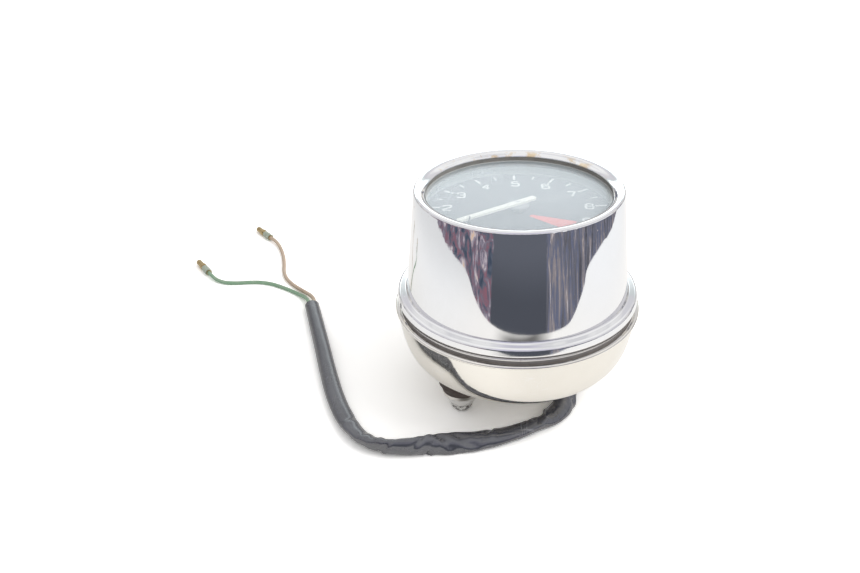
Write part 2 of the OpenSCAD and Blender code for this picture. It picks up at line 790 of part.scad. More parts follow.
// Rubber dampers through the shell, one on each stud
module dampers() {
    z = nut_h + washer_t;
    color([0.25, 0.2, 0.18]) at_studs() rotate_extrude() polygon([
        [stud_d / 2 + snug_fit, z], [min(washer_d, damper_d) / 2 - 0.3, z], [damper_d / 2, z + 3.4],
        [damper_d / 2, case_z - stud_head_h - 0.5], [damper_d / 2 - 0.5, case_z - stud_head_h],
        [stud_d / 2 + snug_fit, case_z - stud_head_h]
    ]);
}

// Plain washers under the dampers
module washers() {
    color("gainsboro") at_studs() ring(washer_d / 2, stud_d / 2 + snug_fit, nut_h, washer_t);
}

// Acorn nuts: hexagon, chamfer and dome over a blind thread
module acorn_nuts() {
    corner_r = nut_af / sqrt(3);
    dome_r = nut_af / 2 - 1;
    hex_h = 5.2;
    nut_turn = 18;
    color("darkgray") at_studs() rotate(nut_turn) difference() {
        union() {
            bar(dome_r, dome_r, nut_h - dome_r);
            translate([0, 0, dome_r]) sphere(r = dome_r);
            intersection() {
                translate([0, 0, nut_h - hex_h]) cylinder(r = corner_r, h = hex_h, $fn = 6);
                rotate_extrude() polygon([
                    [0, nut_h - hex_h], [dome_r + 0.2, nut_h - hex_h],
                    [corner_r + 0.1, nut_h - 1.6], [corner_r + 0.1, nut_h - 0.4],
                    [corner_r - 0.4, nut_h], [0, nut_h]
                ]);
            }
        }
        bar(nut_bore_d / 2, 3.4, nut_h);
    }
}

// Moulded rubber grommet, grooved for the shell's wall, with its spout aimed along the sleeve
module harness_grommet() {
    start = sleeve_route[0];
    out = sleeve_route[1] - sleeve_route[0];
    back = 7.6;
    spout_r = sleeve_d / 2 + 1.3;
    lip_z = standoff + shell_t + 2.4;
    color([0.12, 0.12, 0.12]) union() {
        difference() {
            translate(outlet) rotate_extrude() polygon([
                [0, standoff - 1.4], [7.4, standoff - 1.4], [8.2, standoff - 0.6],
                [8.2, lip_z - 0.4], [7.8, lip_z], [0, lip_z]
            ]);
            difference() {
                rotate_extrude() polygon(bowl_wall());
                translate(outlet) bar(outlet_d / 2, standoff - 1, shell_t + 4);
            }
        }
        intersection() {
            aimed(start, -out) cylinder(r1 = spout_r, r2 = spout_r + 0.6, h = back);
            translate([outlet[0] - 20, outlet[1] - 20, 0]) cube([40, 40, standoff - 0.6]);
        }
    }
}

// Black sleeve over the two wires
module harness_sleeve() {
    color([0.1, 0.1, 0.12]) swept(sleeve_route, sleeve_d, 12);
}

module green_wire() {
    color("darkgreen") swept(green_route, wire_d, 8);
}

module brown_wire() {
    color("saddlebrown") swept(brown_route, wire_d, 8);
}

// Bullet terminal: crimp, neck and rounded nose, from the end of a wire
module bullet(route) {
    last = len(route) - 1;
    out = route[last] - route[last - 1];
    r = bullet_d / 2;
    aimed(route[last], [out[0], out[1], 0]) rotate_extrude() polygon(concat(
        [[0, 0], [r - 0.5, 0], [r - 0.4, 6], [1.2, 7.2], [1.2, 8.4], [r, 8.8], [r, 9.8], [r - 0.35, 10.2]],
        [[r - 0.35, bullet_l - 2]],
        arc([r - 1.6, bullet_l - 1.4], 1.25, 0, 90, 6),
        [[0, bullet_l - 0.15]]
    ));
}

// Clear sleeve over a terminal's crimp
module crimp_sleeve(route) {
    last = len(route) - 1;
    out = route[last] - route[last - 1];
    r = bullet_d / 2;
    aimed(route[last], [out[0], out[1], 0]) ring(r, r - 0.35, 0.4, 6.4);
}

module green_terminal() {
    color("darkgoldenrod") bullet(green_route);
}

module brown_terminal() {
    color("darkgoldenrod") bullet(brown_route);
}

module green_crimp_sleeve() {
    color([0.7, 0.75, 0.65, 0.6]) crimp_sleeve(green_route);
}

module brown_crimp_sleeve() {
    color([0.7, 0.75, 0.65, 0.6]) crimp_sleeve(brown_route);
}

upper_cover();
lens_gasket();
lens();
dial_shroud();
dial_plate();
dial_screws();
stop_pin();
needle();
needle_hub();
needle_spindle();
drag_cup();
hairspring_collet();
hairspring();
hairspring_stud();
top_bridge();
bridge_bush();
bridge_posts();
bridge_screws();
field_cup();
magnet();
magnet_carrier();
thrust_washer();
drive_shaft();
lower_bush();
upper_bush();
movement_frame();
frame_screws();
dial_posts();
inner_case();
lamp_holder();
lamp_bulb();
lamp_leads();
mounting_studs();
case_gasket();
lower_shell();
shell_nut();
cable_spigot();
dampers();
washers();
acorn_nuts();
harness_grommet();
harness_sleeve();
green_wire();
brown_wire();
green_terminal();
brown_terminal();
green_crimp_sleeve();
brown_crimp_sleeve();
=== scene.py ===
import math
import random

import bmesh
import bpy
from mathutils import Matrix, Vector
from mathutils.noise import noise as smooth_noise


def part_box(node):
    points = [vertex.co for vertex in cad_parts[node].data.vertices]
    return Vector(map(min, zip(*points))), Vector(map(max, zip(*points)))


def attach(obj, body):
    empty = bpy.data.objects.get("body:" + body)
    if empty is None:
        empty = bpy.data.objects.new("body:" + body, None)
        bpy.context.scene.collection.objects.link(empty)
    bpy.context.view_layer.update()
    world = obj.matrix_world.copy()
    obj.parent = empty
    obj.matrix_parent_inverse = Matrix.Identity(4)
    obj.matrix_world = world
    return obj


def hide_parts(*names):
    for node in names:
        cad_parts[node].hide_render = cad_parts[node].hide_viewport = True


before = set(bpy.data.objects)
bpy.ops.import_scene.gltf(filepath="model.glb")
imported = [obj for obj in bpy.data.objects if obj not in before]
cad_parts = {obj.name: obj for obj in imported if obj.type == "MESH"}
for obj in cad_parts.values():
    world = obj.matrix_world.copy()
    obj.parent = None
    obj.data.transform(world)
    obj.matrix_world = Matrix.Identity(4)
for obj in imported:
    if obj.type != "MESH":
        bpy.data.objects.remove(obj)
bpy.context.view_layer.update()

# Looks of a chromed, cable-driven motorcycle tachometer and its lamp harness.
# Sizes of the gauge, its profiles and its routes are in millimetres, and so is what a name that
# ends in mm gives. Lamps, the stage's other sizes and patterns of materials are in metres.

MM = 0.001

# Heights that the frame gives
DIAL_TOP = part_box("dial_plate")[1].z / MM
COVER_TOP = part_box("upper_cover")[1].z / MM
COVER_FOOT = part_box("upper_cover")[0].z / MM
SHELL_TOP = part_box("lower_shell")[1].z / MM
SHELL_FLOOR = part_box("lower_shell")[0].z / MM

# Small helpers

# Angles between faces, in degrees, above which an edge stays crisp
CRISP_SOLID, CRISP_SPUN, CRISP_SLEEVE = 35, 40, 60
# Points closer than this, in metres, are one point
SAME_PLACE = 1e-7


def mm(x, y, z):
    """A point given in millimetres, as a vector in metres."""
    return Vector((x, y, z)) * MM


def arc(cx, cy, r, a, b, steps):
    """Points round an arc of a profile, from angle a to angle b in degrees."""
    turn = [math.radians(a + (b - a) * i / steps) for i in range(steps + 1)]
    return [(cx + r * math.cos(t), cy + r * math.sin(t)) for t in turn]


def link_mesh(name, verts, faces, material=None, smooth=True):
    """A new mesh object from points in metres and faces."""
    mesh = bpy.data.meshes.new(name)
    mesh.from_pydata([tuple(v) for v in verts], [], faces)
    mesh.validate()
    for polygon in mesh.polygons:
        polygon.use_smooth = smooth
    piece = bpy.data.objects.new(name, mesh)
    bpy.context.scene.collection.objects.link(piece)
    if material:
        mesh.materials.append(material)
    return piece


def lathe(name, profile_mm, material, segments, at_mm=(0, 0), closed=True):
    """A piece turned round a vertical axis from points (radius, height) in millimetres."""
    verts, faces = [], []
    count = len(profile_mm)
    for i in range(segments):
        turn = 2 * math.pi * i / segments
        for r, z in profile_mm:
            verts.append(mm(at_mm[0] + r * math.cos(turn), at_mm[1] + r * math.sin(turn), z))
    last = count if closed else count - 1
    for i in range(segments):
        j = (i + 1) % segments
        for k in range(last):
            n = (k + 1) % count
            faces.append((i * count + k, j * count + k, j * count + n, i * count + n))
    piece = link_mesh(name, verts, faces, material)
    clean(piece)
    soften(piece, CRISP_SPUN)
    return piece


def clean(piece):
    """Merges points on the axis and turns the faces outwards."""
    work = bmesh.new()
    work.from_mesh(piece.data)
    bmesh.ops.remove_doubles(work, verts=work.verts, dist=SAME_PLACE)
    bmesh.ops.recalc_face_normals(work, faces=work.faces)
    work.to_mesh(piece.data)
    work.free()


def soften(piece, angle):
    """Smooth shading, with edges sharper than the angle left crisp."""
    for polygon in piece.data.polygons:
        polygon.use_smooth = True
    piece.data.set_sharp_from_angle(angle=math.radians(angle))


def smooth_path(points_mm, steps):
    """A smooth curve through points, as more points in millimetres."""
    p = [Vector(q) for q in points_mm]
    p = [2 * p[0] - p[1]] + p + [2 * p[-1] - p[-2]]
    out = []
    for i in range(1, len(p) - 2):
        for k in range(steps):
            t = k / steps
            out.append(0.5 * (
                2 * p[i] + (p[i + 1] - p[i - 1]) * t
                + (2 * p[i - 1] - 5 * p[i] + 4 * p[i + 1] - p[i + 2]) * t * t
                + (3 * p[i] - p[i - 1] - 3 * p[i + 1] + p[i + 2]) * t * t * t))
    out.append(p[-2])
    return out


def between(keys, s):
    """Values at s, eased between rows of keys that each start with their own s."""
    for low, high in zip(keys, keys[1:]):
        if s <= high[0]:
            t = max(0.0, (s - low[0]) / (high[0] - low[0]))
            t = t * t * (3 - 2 * t)
            return [a + (b - a) * t for a, b in zip(low[1:], high[1:])]
    return list(keys[-1][1:])


def stand_for(piece, node):
    """Puts a piece of the gauge under the gauge's body and hides the node that it replaces."""
    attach(piece, "gauge")
    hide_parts(node)


# Camera

CAMERA_AT_MM = (-17.04, -291.98, 219.14)
# Turns in degrees
CAMERA_HEADING, CAMERA_TILT, CAMERA_ROLL = 3.74, 59.948, -2.197
CAMERA_LENS, CAMERA_SENSOR = 33.49, 36


def make_camera():
    data = bpy.data.cameras.new("camera")
    data.lens = CAMERA_LENS
    data.sensor_width = CAMERA_SENSOR
    data.clip_start, data.clip_end = 0.01, 20
    camera = bpy.data.objects.new("camera", data)
    bpy.context.scene.collection.objects.link(camera)
    turn = (Matrix.Rotation(math.radians(CAMERA_HEADING), 4, "Z")
            @ Matrix.Rotation(math.radians(CAMERA_TILT), 4, "X")
            @ Matrix.Rotation(math.radians(CAMERA_ROLL), 4, "Z"))
    camera.matrix_world = Matrix.Translation(mm(*CAMERA_AT_MM)) @ turn
    bpy.context.scene.camera = camera


make_camera()

# Shader nodes

WHITE = (1.0, 1.0, 1.0)


def add_node(tree, kind, **settings):
    """A node with its settings, and values for its input sockets by name or number."""
    node = tree.nodes.new(kind)
    for key, value in settings.items():
        if key != "inputs":
            setattr(node, key, value)
    for key, value in settings.get("inputs", {}).items():
        if isinstance(value, bpy.types.NodeSocket):
            tree.links.new(value, node.inputs[key])
        else:
            node.inputs[key].default_value = value
    return node


def feed(tree, sockets, **values):
    """Links values to sockets, whose names are written with _ for a space."""
    for label, value in values.items():
        tree.links.new(value, sockets[label.replace("_", " ")])


def math_node(tree, operation, a, b=0.0, clamp=False):
    return add_node(tree, "ShaderNodeMath", operation=operation, use_clamp=clamp,
                    inputs={0: a, 1: b}).outputs[0]


def times(tree, a, *others):
    """The product of two or more values."""
    for b in others:
        a = math_node(tree, "MULTIPLY", a, b)
    return a


def plus(tree, a, *others):
    """The sum of two or more values."""
    for b in others:
        a = math_node(tree, "ADD", a, b)
    return a


def minus(tree, a, b):
    return math_node(tree, "SUBTRACT", a, b)


def larger(tree, a, b):
    return math_node(tree, "MAXIMUM", a, b)


def apart(tree, a, b=0.0):
    """How far apart two values are."""
    return math_node(tree, "ABSOLUTE", minus(tree, a, b))


def mix_colour(tree, factor, a, b, blend="MIX"):
    node = add_node(tree, "ShaderNodeMix", data_type="RGBA", blend_type=blend)
    for socket, value in ((node.inputs[0], factor), (node.inputs[6], a), (node.inputs[7], b)):
        if isinstance(value, bpy.types.NodeSocket):
            tree.links.new(value, socket)
        else:
            socket.default_value = (*value, 1) if isinstance(value, tuple) else value
    return node.outputs[2]


def mix_value(tree, factor, a, b):
    return add_node(tree, "ShaderNodeMix", data_type="FLOAT",
                    inputs={0: factor, 2: a, 3: b}).outputs[0]


def map_range(tree, value, low, high, to_low=0.0, to_high=1.0, kind="SMOOTHSTEP"):
    return add_node(tree, "ShaderNodeMapRange", interpolation_type=kind, clamp=True, inputs={
        0: value, 1: low, 2: high, 3: to_low, 4: to_high}).outputs[0]


def map_mm(tree, value, low_mm, high_mm, to_low=0.0, to_high=1.0):
    """The same for a value in metres, between two places in millimetres."""
    return map_range(tree, value, low_mm * MM, high_mm * MM, to_low, to_high)


def object_point(tree):
    return tree.nodes.new("ShaderNodeTexCoord").outputs["Object"]


def stretched(tree, x, y, z):
    """The object point with each axis multiplied, to draw a pattern out."""
    return add_node(tree, "ShaderNodeVectorMath", operation="MULTIPLY", inputs={
        0: object_point(tree), 1: (x, y, z)}).outputs[0]


def axes(tree, vector=None):
    """The x, y and z of a vector, or of the object point."""
    return add_node(tree, "ShaderNodeSeparateXYZ",
                    inputs={0: vector or object_point(tree)}).outputs


def from_axis(tree):
    """Distance of the object point from the gauge's axis, in metres."""
    return add_node(tree, "ShaderNodeVectorMath", operation="LENGTH",
                    inputs={0: stretched(tree, 1, 1, 0)}).outputs["Value"]


def noise(tree, scale, detail, rough, vector=None, distortion=0.0):
    return add_node(tree, "ShaderNodeTexNoise", inputs={
        "Vector": vector or object_point(tree), "Scale": scale, "Detail": detail,
        "Roughness": rough, "Distortion": distortion}).outputs["Fac"]


# Shader groups

# Multiples of the axes that draw noise out into scratches, one row for each direction
SCRATCH_DRAWS = ((1, 0.04, 0.3), (0.05, 1, 0.5), (0.6, 0.5, 0.03))
RUST_COLOURS = (0.52, 0.26, 0.08), (0.26, 0.12, 0.05)
LIP_STAIN_COLOURS = (0.86, 0.72, 0.46), (0.62, 0.40, 0.18)
# Radii and heights between which the stains of the lip fade, how far back they start, and the
# heights between which the ripples below the rim's roll grow
LIP_R_MM, LIP_Z_MM, STAIN_Y_MM = (36.8, 39.4), (92.5, 93.2), (0, 30)
RIPPLE_Z_MM = (78, 93)


def new_group(name, inputs, outputs):
    """A shader node group with float or colour sockets."""
    tree = bpy.data.node_groups.new(name, "ShaderNodeTree")
    for label, value in inputs.items():
        kind = "NodeSocketColor" if isinstance(value, tuple) else "NodeSocketFloat"
        socket = tree.interface.new_socket(label, in_out="INPUT", socket_type=kind)
        socket.default_value = (*value, 1) if isinstance(value, tuple) else value
    for label, kind in outputs.items():
        tree.interface.new_socket(label, in_out="OUTPUT", socket_type="NodeSocket" + kind)
    start = tree.nodes.new("NodeGroupInput")
    end = tree.nodes.new("NodeGroupOutput")
    return tree, start.outputs, end.inputs


def make_mottling():
    """Slow drift between a light and a dark colour, with a finer grain over it."""
    tree, ins, outs = new_group(
        "mottling",
        {"Light": (0.8, 0.8, 0.8), "Dark": (0.6, 0.6, 0.6), "Scale": 60.0, "Contrast": 0.5},
        {"Colour": "Color", "Mask": "Float"})
    slow = noise(tree, ins["Scale"], 4, 0.6)
    fine = noise(tree, times(tree, ins["Scale"], 9.0), 3, 0.6)
    both = plus(tree, times(tree, slow, 0.7), times(tree, fine, 0.3))
    half = times(tree, ins["Contrast"], 0.25)
    mask = map_range(tree, both, minus(tree, 0.5, half), plus(tree, 0.5, half))
    feed(tree, outs, Colour=mix_colour(tree, mask, ins["Light"], ins["Dark"]), Mask=mask)
    return tree


def make_fine_scratches():
    """Sparse hair scratches in three directions, as a mask and a height."""
    tree, ins, outs = new_group("fine scratches", {"Density": 0.5, "Scale": 300.0},
                                {"Mask": "Float", "Height": "Float"})
    width = times(tree, ins["Density"], 0.02)
    total = 0.0
    for draw in SCRATCH_DRAWS:
        lines = noise(tree, ins["Scale"], 2, 0.5, stretched(tree, *draw), 0.3)
        line = map_range(tree, apart(tree, lines, 0.5), 0.0, width, 1.0, 0.0)
        total = larger(tree, total, line)
    patches = map_range(tree, noise(tree, 45.0, 2, 0.5), 0.5, 0.68)
    mask = times(tree, total, patches)
    feed(tree, outs, Mask=mask, Height=times(tree, mask, -1.0))
    return tree


def make_rust_specks():
    """Small rust spots gathered in patches, with their colour."""
    tree, ins, outs = new_group("rust specks", {"Amount": 0.5, "Scale": 500.0},
                                {"Mask": "Float", "Colour": "Color"})
    patch = map_range(tree, noise(tree, 38.0, 2, 0.5), 0.56, 0.72)
    low = minus(tree, 0.72, times(tree, ins["Amount"], 0.2))
    spots = map_range(tree, noise(tree, ins["Scale"], 5, 0.65), low, plus(tree, low, 0.07))
    feed(tree, outs, Mask=times(tree, spots, patch),
         Colour=mix_colour(tree, noise(tree, 900.0, 2, 0.5), *RUST_COLOURS))
    return tree


def make_dust_film():
    """Pale dust that settles on faces that look up, in uneven drifts."""
    tree, ins, outs = new_group("dust film", {"Amount": 0.3, "Scale": 80.0}, {"Mask": "Float"})
    normal = tree.nodes.new("ShaderNodeNewGeometry").outputs["Normal"]
    up = map_range(tree, axes(tree, normal)[2], 0.1, 0.9, 0.25, 1.0)
    drift = map_range(tree, noise(tree, ins["Scale"], 6, 0.65), 0.38, 0.7)
    feed(tree, outs, Mask=times(tree, up, drift, ins["Amount"]))
    return tree


def make_pitting():
    """Corrosion pits and crust, as a mask and a height."""
    tree, ins, outs = new_group("pitting", {"Scale": 900.0, "Depth": 1.0},
                                {"Mask": "Float", "Height": "Float"})
    cells = add_node(tree, "ShaderNodeTexVoronoi", feature="F1", inputs={
        "Vector": object_point(tree), "Scale": ins["Scale"]}).outputs["Distance"]
    pits = map_range(tree, cells, 0.08, 0.42)
    crust = noise(tree, times(tree, ins["Scale"], 0.6), 5, 0.7)
    feed(tree, outs, Mask=map_range(tree, crust, 0.42, 0.6),
         Height=times(tree, plus(tree, pits, crust), ins["Depth"]))
    return tree


def make_surface_grain():
    """Fine even grain of cast, moulded or painted surfaces, as a height."""
    tree, ins, outs = new_group("surface grain", {"Scale": 1500.0, "Depth": 1.0},
                                {"Height": "Float"})
    feed(tree, outs, Height=times(tree, noise(tree, ins["Scale"], 4, 0.6), ins["Depth"]))
    return tree


def make_turned_lines():
    """Faint rings left by turning or spinning round the gauge's axis, as a height."""
    tree, ins, outs = new_group("turned lines", {"Scale": 1.0}, {"Height": "Float"})
    along = add_node(tree, "ShaderNodeCombineXYZ", inputs={
        0: times(tree, from_axis(tree), 4000.0), 2: times(tree, axes(tree)[2], 4000.0)}).outputs[0]
    feed(tree, outs, Height=noise(tree, ins["Scale"], 3, 0.7, along))
    return tree


def make_rim_wear():
    """Wear of the cover's rim: stains along the lip, as a mask and colour, and ripples just below
    the roll, as a height."""
    tree, ins, outs = new_group("rim wear", {"Stain": 0.8, "Ripple": 0.12},
                                {"Mask": "Float", "Colour": "Color", "Height": "Float"})
    _, y, z = axes(tree)
    lip = times(tree, map_mm(tree, from_axis(tree), *LIP_R_MM, 1.0, 0.0),
                map_mm(tree, z, *LIP_Z_MM))
    patches = map_range(tree, noise(tree, 95.0, 4, 0.65), 0.50, 0.62)
    stain = times(tree, lip, map_mm(tree, y, *STAIN_Y_MM), patches)
    ripple = noise(tree, 1.0, 3, 0.6, stretched(tree, 130, 130, 60))
    feed(tree, outs, Mask=times(tree, stain, ins["Stain"]),
         Colour=mix_colour(tree, noise(tree, 300.0, 2, 0.5), *LIP_STAIN_COLOURS),
         Height=times(tree, ripple, map_mm(tree, z, *RIPPLE_Z_MM), ins["Ripple"]))
    return tree


MOTTLING = make_mottling()
FINE_SCRATCHES = make_fine_scratches()
RUST_SPECKS = make_rust_specks()
DUST_FILM = make_dust_film()
PITTING = make_pitting()
SURFACE_GRAIN = make_surface_grain()
TURNED_LINES = make_turned_lines()
RIM_WEAR = make_rim_wear()

# Materials

# Colours of what lies on the surfaces
SCRATCH_BRIGHT = (0.93, 0.93, 0.95)
PAINT_DUST, RUBBER_DUST = (0.62, 0.60, 0.56), (0.34, 0.31, 0.28)
# The sleeve's dust is bluish, so that it also paints in part of the sleeve's sheen on faces that look
# up.
SLEEVE_DUST_AND_SHEEN, SLEEVE_SCUFF = (0.22, 0.23, 0.26), (0.30, 0.30, 0.33)
WIRE_GRIME = (0.5, 0.47, 0.42)
LAMP_SOOT = (0.7, 0.68, 0.62)
GASKET_DIRT = (0.72, 0.74, 0.73)
# Ring of dirt on the glass, which thickens between these radii
DIRT_R_MM = (35.0, 36.6)
# The film is partly haze and partly a painted reflection: its rise towards a low angle paints in the
# pale veil that the mirrored wall and sky lay over the glass.
# Share of the glass that its film covers, seen straight on and at a low angle, where that angle
# starts as the Layer Weight node counts it, and the share of the film that dims light passing through
FILM_THIN, HAZE_AND_PAINTED_VEIL, LOW_ANGLE, FILM_IN_LIGHT = 0.10, 0.37, 0.62, 0.08
# What smears, scratches, the gasket's dirt and specks add to the film
SMEAR_ADDS, SCRATCH_ADDS, DIRT_ADDS, SPECK_ADDS = 0.03, 0.10, 0.35, 0.12


def place(tree, group, **values):
    """A group in a material, with its own values, as its output sockets."""
    node = tree.nodes.new("ShaderNodeGroup")
    node.node_tree = group
    for label, value in values.items():
        node.inputs[label].default_value = (*value, 1) if isinstance(value, tuple) else value
    return node.outputs


def new_material(name, **sockets):
    """A material with a Principled BSDF whose own sockets hold the constant values."""
    material = bpy.data.materials.new(name)
    material.use_nodes = True
    tree = material.node_tree
    shader = tree.nodes["Principled BSDF"]
    for label, value in sockets.items():
        label = label.replace("_", " ")
        shader.inputs[label].default_value = (*value, 1) if isinstance(value, tuple) else value
    return material, tree, shader.inputs


def bump(tree, sockets, height, strength, distance_mm):
    node = add_node(tree, "ShaderNodeBump", inputs={
        "Strength": strength, "Distance": distance_mm * MM, "Height": height})
    feed(tree, sockets, Normal=node.outputs[0])


def settle_dust(tree, sockets, colour, roughness, dust_colour, dulling, **film):
    """Base colour and roughness under a film of dust, which is paler and duller."""
    mask = place(tree, DUST_FILM, **film)["Mask"]
    feed(tree, sockets, Base_Color=mix_colour(tree, mask, colour, dust_colour),
         Roughness=plus(tree, times(tree, mask, dulling), roughness))


def chrome(name, light, dark, rust, roughness=0.035, waviness=0.05, worn_rim=False):
    """Bright plating: near mirror, with haze, hair scratches and rust breaking through.
    A worn rim is rippled just below its roll and stained along its lip."""
    material, tree, sockets = new_material(name, Metallic=1.0)
    plating = place(tree, MOTTLING, Light=light, Dark=dark, Scale=22.0, Contrast=1.6)
    specks = place(tree, RUST_SPECKS, Amount=rust, Scale=620.0)
    scratch = place(tree, FINE_SCRATCHES, Density=0.5, Scale=260.0)["Mask"]
    film = place(tree, DUST_FILM, Amount=0.22, Scale=140.0)
    colour = mix_colour(tree, times(tree, scratch, 0.35), plating["Colour"], SCRATCH_BRIGHT)
    colour = mix_colour(tree, specks["Mask"], colour, specks["Colour"])
    height = plus(tree, times(tree, noise(tree, 26.0, 2, 0.5), waviness),
                  times(tree, specks["Mask"], 0.02))
    if worn_rim:
        rim = place(tree, RIM_WEAR)
        colour = mix_colour(tree, rim["Mask"], colour, rim["Colour"])
        height = plus(tree, height, rim["Height"])
    rough = plus(tree, times(tree, film["Mask"], 0.12), roughness,
                 times(tree, specks["Mask"], 0.5), times(tree, scratch, 0.1))
    feed(tree, sockets, Base_Color=colour, Roughness=rough,
         Metallic=map_range(tree, specks["Mask"], 0.2, 0.8, 1.0, 0.1))
    bump(tree, sockets, height, strength=0.6, distance_mm=1.0)
    return material


def metal(name, light, dark, roughness, lines=0.4, grain=0.3, scale=180.0):
    """Machined or cast metal with tool marks, a little grain and uneven tarnish."""
    material, tree, sockets = new_material(name, Metallic=1.0)
    tarnish = place(tree, MOTTLING, Light=light, Dark=dark, Scale=scale, Contrast=1.2)
    rings = place(tree, TURNED_LINES, Scale=1.4)
    fine = place(tree, SURFACE_GRAIN, Scale=2600.0, Depth=1.0)
    feed(tree, sockets, Base_Color=tarnish["Colour"],
         Roughness=plus(tree, times(tree, tarnish["Mask"], 0.14), roughness))
    height = plus(tree, times(tree, rings["Height"], lines), times(tree, fine["Height"], grain))
    bump(tree, sockets, height, strength=0.35, distance_mm=0.05)
    return material


def corroded(name, bright, crust, dark):
    """Plated steel that has corroded: bright worn metal between grey and brown crust."""
    material, tree, sockets = new_material(name)
    pits = place(tree, PITTING, Scale=1100.0, Depth=1.0)
    stain = place(tree, MOTTLING, Light=crust, Dark=dark, Scale=420.0, Contrast=1.1)
    pointed = tree.nodes.new("ShaderNodeNewGeometry").outputs["Pointiness"]
    rubbed = map_range(tree, pointed, 0.51, 0.56)
    cover = times(tree, pits["Mask"], minus(tree, 1.0, rubbed))
    feed(tree, sockets, Base_Color=mix_colour(tree, cover, bright, stain["Colour"]),
         Metallic=map_range(tree, cover, 0.1, 0.9, 0.95, 0.25),
         Roughness=map_range(tree, cover, 0.0, 1.0, 0.28, 0.8))
    bump(tree, sockets, pits["Height"], strength=0.9, distance_mm=0.12)
    return material


def paint(name, light, dark, roughness, dust=0.2):
    """Sprayed or printed paint, slightly uneven, with settled dust."""
    material, tree, sockets = new_material(name)
    coat = place(tree, MOTTLING, Light=light, Dark=dark, Scale=90.0, Contrast=1.4)
    settle_dust(tree, sockets, coat["Colour"], roughness, PAINT_DUST, dulling=0.3,
                Amount=dust, Scale=120.0)
    fine = place(tree, SURFACE_GRAIN, Scale=3200.0, Depth=1.0)
    bump(tree, sockets, fine["Height"], strength=0.25, distance_mm=0.01)
    return material


def rubber(name, light, dark, dust=0.35):
    """Aged rubber: dull, dusty, with a fine skin of cracks."""
    material, tree, sockets = new_material(name, Specular_IOR_Level=0.35)
    body = place(tree, MOTTLING, Light=light, Dark=dark, Scale=160.0, Contrast=1.3)
    settle_dust(tree, sockets, body["Colour"], 0.62, RUBBER_DUST, dulling=0.25,
                Amount=dust, Scale=220.0)
    skin = add_node(tree, "ShaderNodeTexVoronoi", feature="DISTANCE_TO_EDGE", inputs={
        "Vector": object_point(tree), "Scale": 700.0}).outputs["Distance"]
    cracks = times(tree, map_range(tree, skin, 0.0, 0.09), 0.5)
    fine = place(tree, SURFACE_GRAIN, Scale=1900.0, Depth=0.6)
    bump(tree, sockets, plus(tree, cracks, fine["Height"]), strength=0.5, distance_mm=0.08)
    return material


def vinyl_sleeve(name):
    """Soft black vinyl tube: glossy, a little wavy, with dust and scuffs. Its bluish tone and the
    bluish dust on faces that look up paint in part of its sheen.
    """
    material, tree, sockets = new_material(name, IOR=1.9, Specular_IOR_Level=0.6)
    # Bluish black, which paints in part of the sleeve's sheen.
    body = place(tree, MOTTLING, Light=(0.046, 0.048, 0.062), Dark=(0.030, 0.032, 0.042),
                 Scale=45.0, Contrast=1.2)
    film = place(tree, DUST_FILM, Amount=0.12, Scale=60.0)
    scuffs = place(tree, FINE_SCRATCHES, Density=0.4, Scale=180.0)
    colour = mix_colour(tree, film["Mask"], body["Colour"], SLEEVE_DUST_AND_SHEEN)
    colour = mix_colour(tree, times(tree, scuffs["Mask"], 0.4), colour, SLEEVE_SCUFF)
    feed(tree, sockets, Base_Color=colour,
         Roughness=plus(tree, times(tree, film["Mask"], 0.3), 0.20))
    bump(tree, sockets, noise(tree, 60.0, 2, 0.4, distortion=0.4), strength=0.06, distance_mm=0.5)
    return material


def insulation(name, light, dark):
    """Thin vinyl wire insulation, faded and grimy in places."""
    material, tree, sockets = new_material(name, IOR=1.5, Specular_IOR_Level=0.5)
    body = place(tree, MOTTLING, Light=light, Dark=dark, Scale=130.0, Contrast=1.5)
    settle_dust(tree, sockets, body["Colour"], 0.38, WIRE_GRIME, dulling=0.25,
                Amount=0.25, Scale=300.0)
    fine = place(tree, SURFACE_GRAIN, Scale=1500.0, Depth=1.0)
    bump(tree, sockets, fine["Height"], strength=0.3, distance_mm=0.06)
    return material


def hazed_glass(name):
    """Flat glass under a milky film that thickens towards a low angle, as old gauge glass looks: the
    film is partly haze and partly a painted reflection, the pale veil over the glass, with a ring of
    dirt along the gasket."""
    material, tree, sockets = new_material(name, IOR=2.2)
    smear = place(tree, MOTTLING, Light=(0.70, 0.77, 0.82), Dark=(0.67, 0.74, 0.79),
                  Scale=14.0, Contrast=2.0)
    scratches = place(tree, FINE_SCRATCHES, Density=0.35, Scale=220.0)
    specks = map_range(tree, noise(tree, 620.0, 2, 0.5), 0.74, 0.78)
    dirt = map_mm(tree, from_axis(tree), *DIRT_R_MM)
    facing = add_node(tree, "ShaderNodeLayerWeight", inputs={"Blend": 0.5}).outputs["Facing"]
    # The film thickens towards a low angle: a painted reflection, the pale veil over the glass, on
    # top of the haze.
    film = plus(tree, map_range(tree, facing, 0.0, LOW_ANGLE, FILM_THIN, HAZE_AND_PAINTED_VEIL, "LINEAR"),
                times(tree, smear["Mask"], SMEAR_ADDS),
                times(tree, scratches["Mask"], SCRATCH_ADDS), times(tree, dirt, DIRT_ADDS))
    film = math_node(tree, "ADD", film, times(tree, specks, SPECK_ADDS), clamp=True)
    path = tree.nodes.new("ShaderNodeLightPath").outputs
    seen = larger(tree, path["Is Camera Ray"], path["Is Glossy Ray"])
    seen = map_range(tree, seen, 0.0, 1.0, FILM_IN_LIGHT, 1.0, "LINEAR")
    feed(tree, sockets, Base_Color=mix_colour(tree, dirt, smear["Colour"], GASKET_DIRT),
         Roughness=plus(tree, times(tree, smear["Mask"], 0.03), 0.07),
         Alpha=times(tree, film, seen))
    return material


